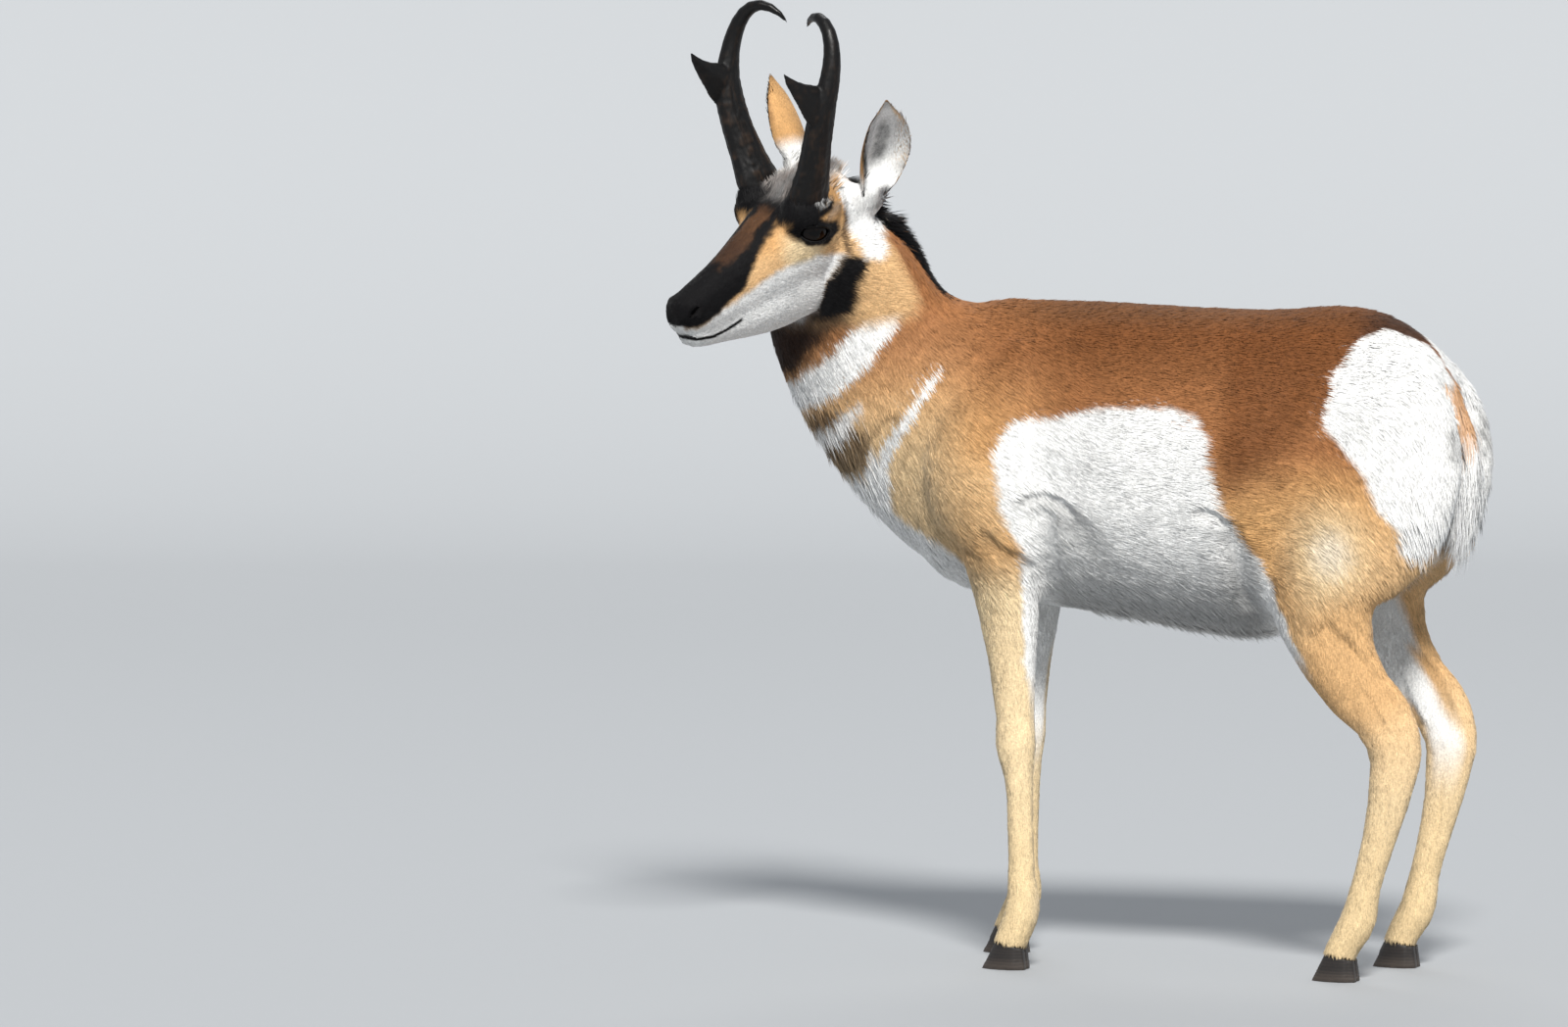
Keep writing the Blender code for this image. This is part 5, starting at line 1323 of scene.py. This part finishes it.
dull = add_node(tree, "ShaderNodeMapRange", Value=worn.outputs["Fac"], To_Min=0.55, To_Max=0.26)
tree.links.new(dull.outputs["Result"], shader.inputs["Roughness"])
spot = add_node(tree, "ShaderNodeTexCoord")
fibre = add_node(tree, "ShaderNodeMapping", Vector=spot.outputs["Object"], Scale=(1.0, 1.0, 0.16))
grain = add_node(tree, "ShaderNodeTexNoise", Vector=fibre.outputs["Vector"], Scale=620.0, Detail=4.0, Roughness=0.6)
bump = add_node(tree, "ShaderNodeBump", Height=grain.outputs["Fac"], Strength=0.55, Distance=0.0006)
tree.links.new(bump.outputs["Normal"], shader.inputs["Normal"])

for name, side in (("left", -1), ("right", 1)):
    form = swollen_copy([f"horn_{name}"], 0.0002)
    horn = keep_form(f"horn_sheath_{name}", form, sheath)
    fused = horn.modifiers.new("fuse", "REMESH")
    fused.mode, fused.voxel_size = "VOXEL", GRAIN
    settle(horn)
    points, corners = mesh_arrays(horn.data)
    points = relax(points, corners, 26, 1.0)
    line = [tuple(head_at + HEAD_TURN @ Vector((x, side * y, z))) for x, y, z in HORN_LINE]
    _, along = path_distance(points, line)
    local = (points - np.array(head_at)) @ INTO_HEAD.T
    stops = np.linspace(0, 1, len(HORN_LINE))
    middle = np.stack([np.interp(along, stops, [row[k] for row in HORN_LINE]) for k in range(3)], axis=1)
    middle[:, 1] *= side
    angle = np.arctan2(local[:, 1] - middle[:, 1], local[:, 0] - middle[:, 0])
    around = np.column_stack([np.cos(angle), np.sin(angle), along * 5])
    ridges = 0.6 * mottle(around, 0.22, 81) + 0.4 * mottle(around * (1, 1, 1.6), 0.10, 82)
    knots = mottle(points, 0.006, 83)
    rough = step_up(-along, -0.62, -0.10)
    points += surface_normals(points, corners) * (RIDGE * (0.25 + 0.9 * rough) * ridges + 0.0006 * rough * knots)[:, None]
    horn.data.vertices.foreach_set("co", points.ravel())
    horn.data.update()
    crest = step_up(ridges + 0.4 * knots, -0.1, 0.9) * (0.25 + 0.75 * rough)
    polish = step_up(along, 0.35, 0.75)
    black, brown = np.array(light_value("#080707")), np.array(light_value("#4A3626"))
    colour = black[None, :] + (brown - black)[None, :] * (0.42 * crest)[:, None]
    paint(horn.data, colour)
    layer = horn.data.attributes.new("Worn", "FLOAT", "POINT")
    layer.data.foreach_set("value", (polish * (0.7 + 0.3 * knots)).astype(np.float32))
    for face in horn.data.polygons:
        face.use_smooth = True
    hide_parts(f"horn_{name}")

# --- The hooves ---
# Eight claws of dull black horn, ringed by their growth and scuffed paler towards the ground.

RING_STEP, RING_DEPTH, HOOF_GRAIN = 0.0042, 0.00022, 0.0018
claw_horn, tree, shader = new_material("dull black hoof horn", "#1E1B19", 0.5)
stored = add_node(tree, "ShaderNodeAttribute", {"attribute_name": "Coat"})
tree.links.new(stored.outputs["Color"], shader.inputs["Base Color"])
spot = add_node(tree, "ShaderNodeTexCoord")
scuffs = add_node(tree, "ShaderNodeTexNoise", Vector=spot.outputs["Object"], Scale=380.0, Detail=3.0)
bump = add_node(tree, "ShaderNodeBump", Height=scuffs.outputs["Fac"], Strength=0.4, Distance=0.0004)
tree.links.new(bump.outputs["Normal"], shader.inputs["Normal"])
CLAWS = [f"hoof_{foot}_{side}_{half}" for foot in ("fore", "hind") for side in ("left", "right") for half in ("inner", "outer")]
for name in CLAWS:
    claw = keep_form(name.replace("hoof", "claw"), swollen_copy([name], 0.0), claw_horn)
    fused = claw.modifiers.new("fuse", "REMESH")
    fused.mode, fused.voxel_size = "VOXEL", HOOF_GRAIN
    settle(claw)
    points, corners = mesh_arrays(claw.data)
    points = relax(points, corners, 10, 0.8)
    height = on_body(points)[:, 2]
    ways = surface_normals(points, corners)
    wall = step_up(-np.abs(ways[:, 2]), -0.8, -0.5)
    rings = np.sin(2 * np.pi * (height + 0.0006 * mottle(points, 0.008, 91)) / RING_STEP)
    points += ways * (RING_DEPTH * wall * rings)[:, None]
    points[:, 2] = np.maximum(points[:, 2], body_at.z + 0.0002)
    claw.data.vertices.foreach_set("co", points.ravel())
    dark, pale = np.array(light_value("#211D1B")), np.array(light_value("#5B5047"))
    share = 0.35 * step_up(-height, -0.020, -0.004) + 0.12 * rings * wall
    paint(claw.data, dark[None, :] + (pale - dark)[None, :] * np.clip(share, 0, 1)[:, None])
    for face in claw.data.polygons:
        face.use_smooth = True
    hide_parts(name)
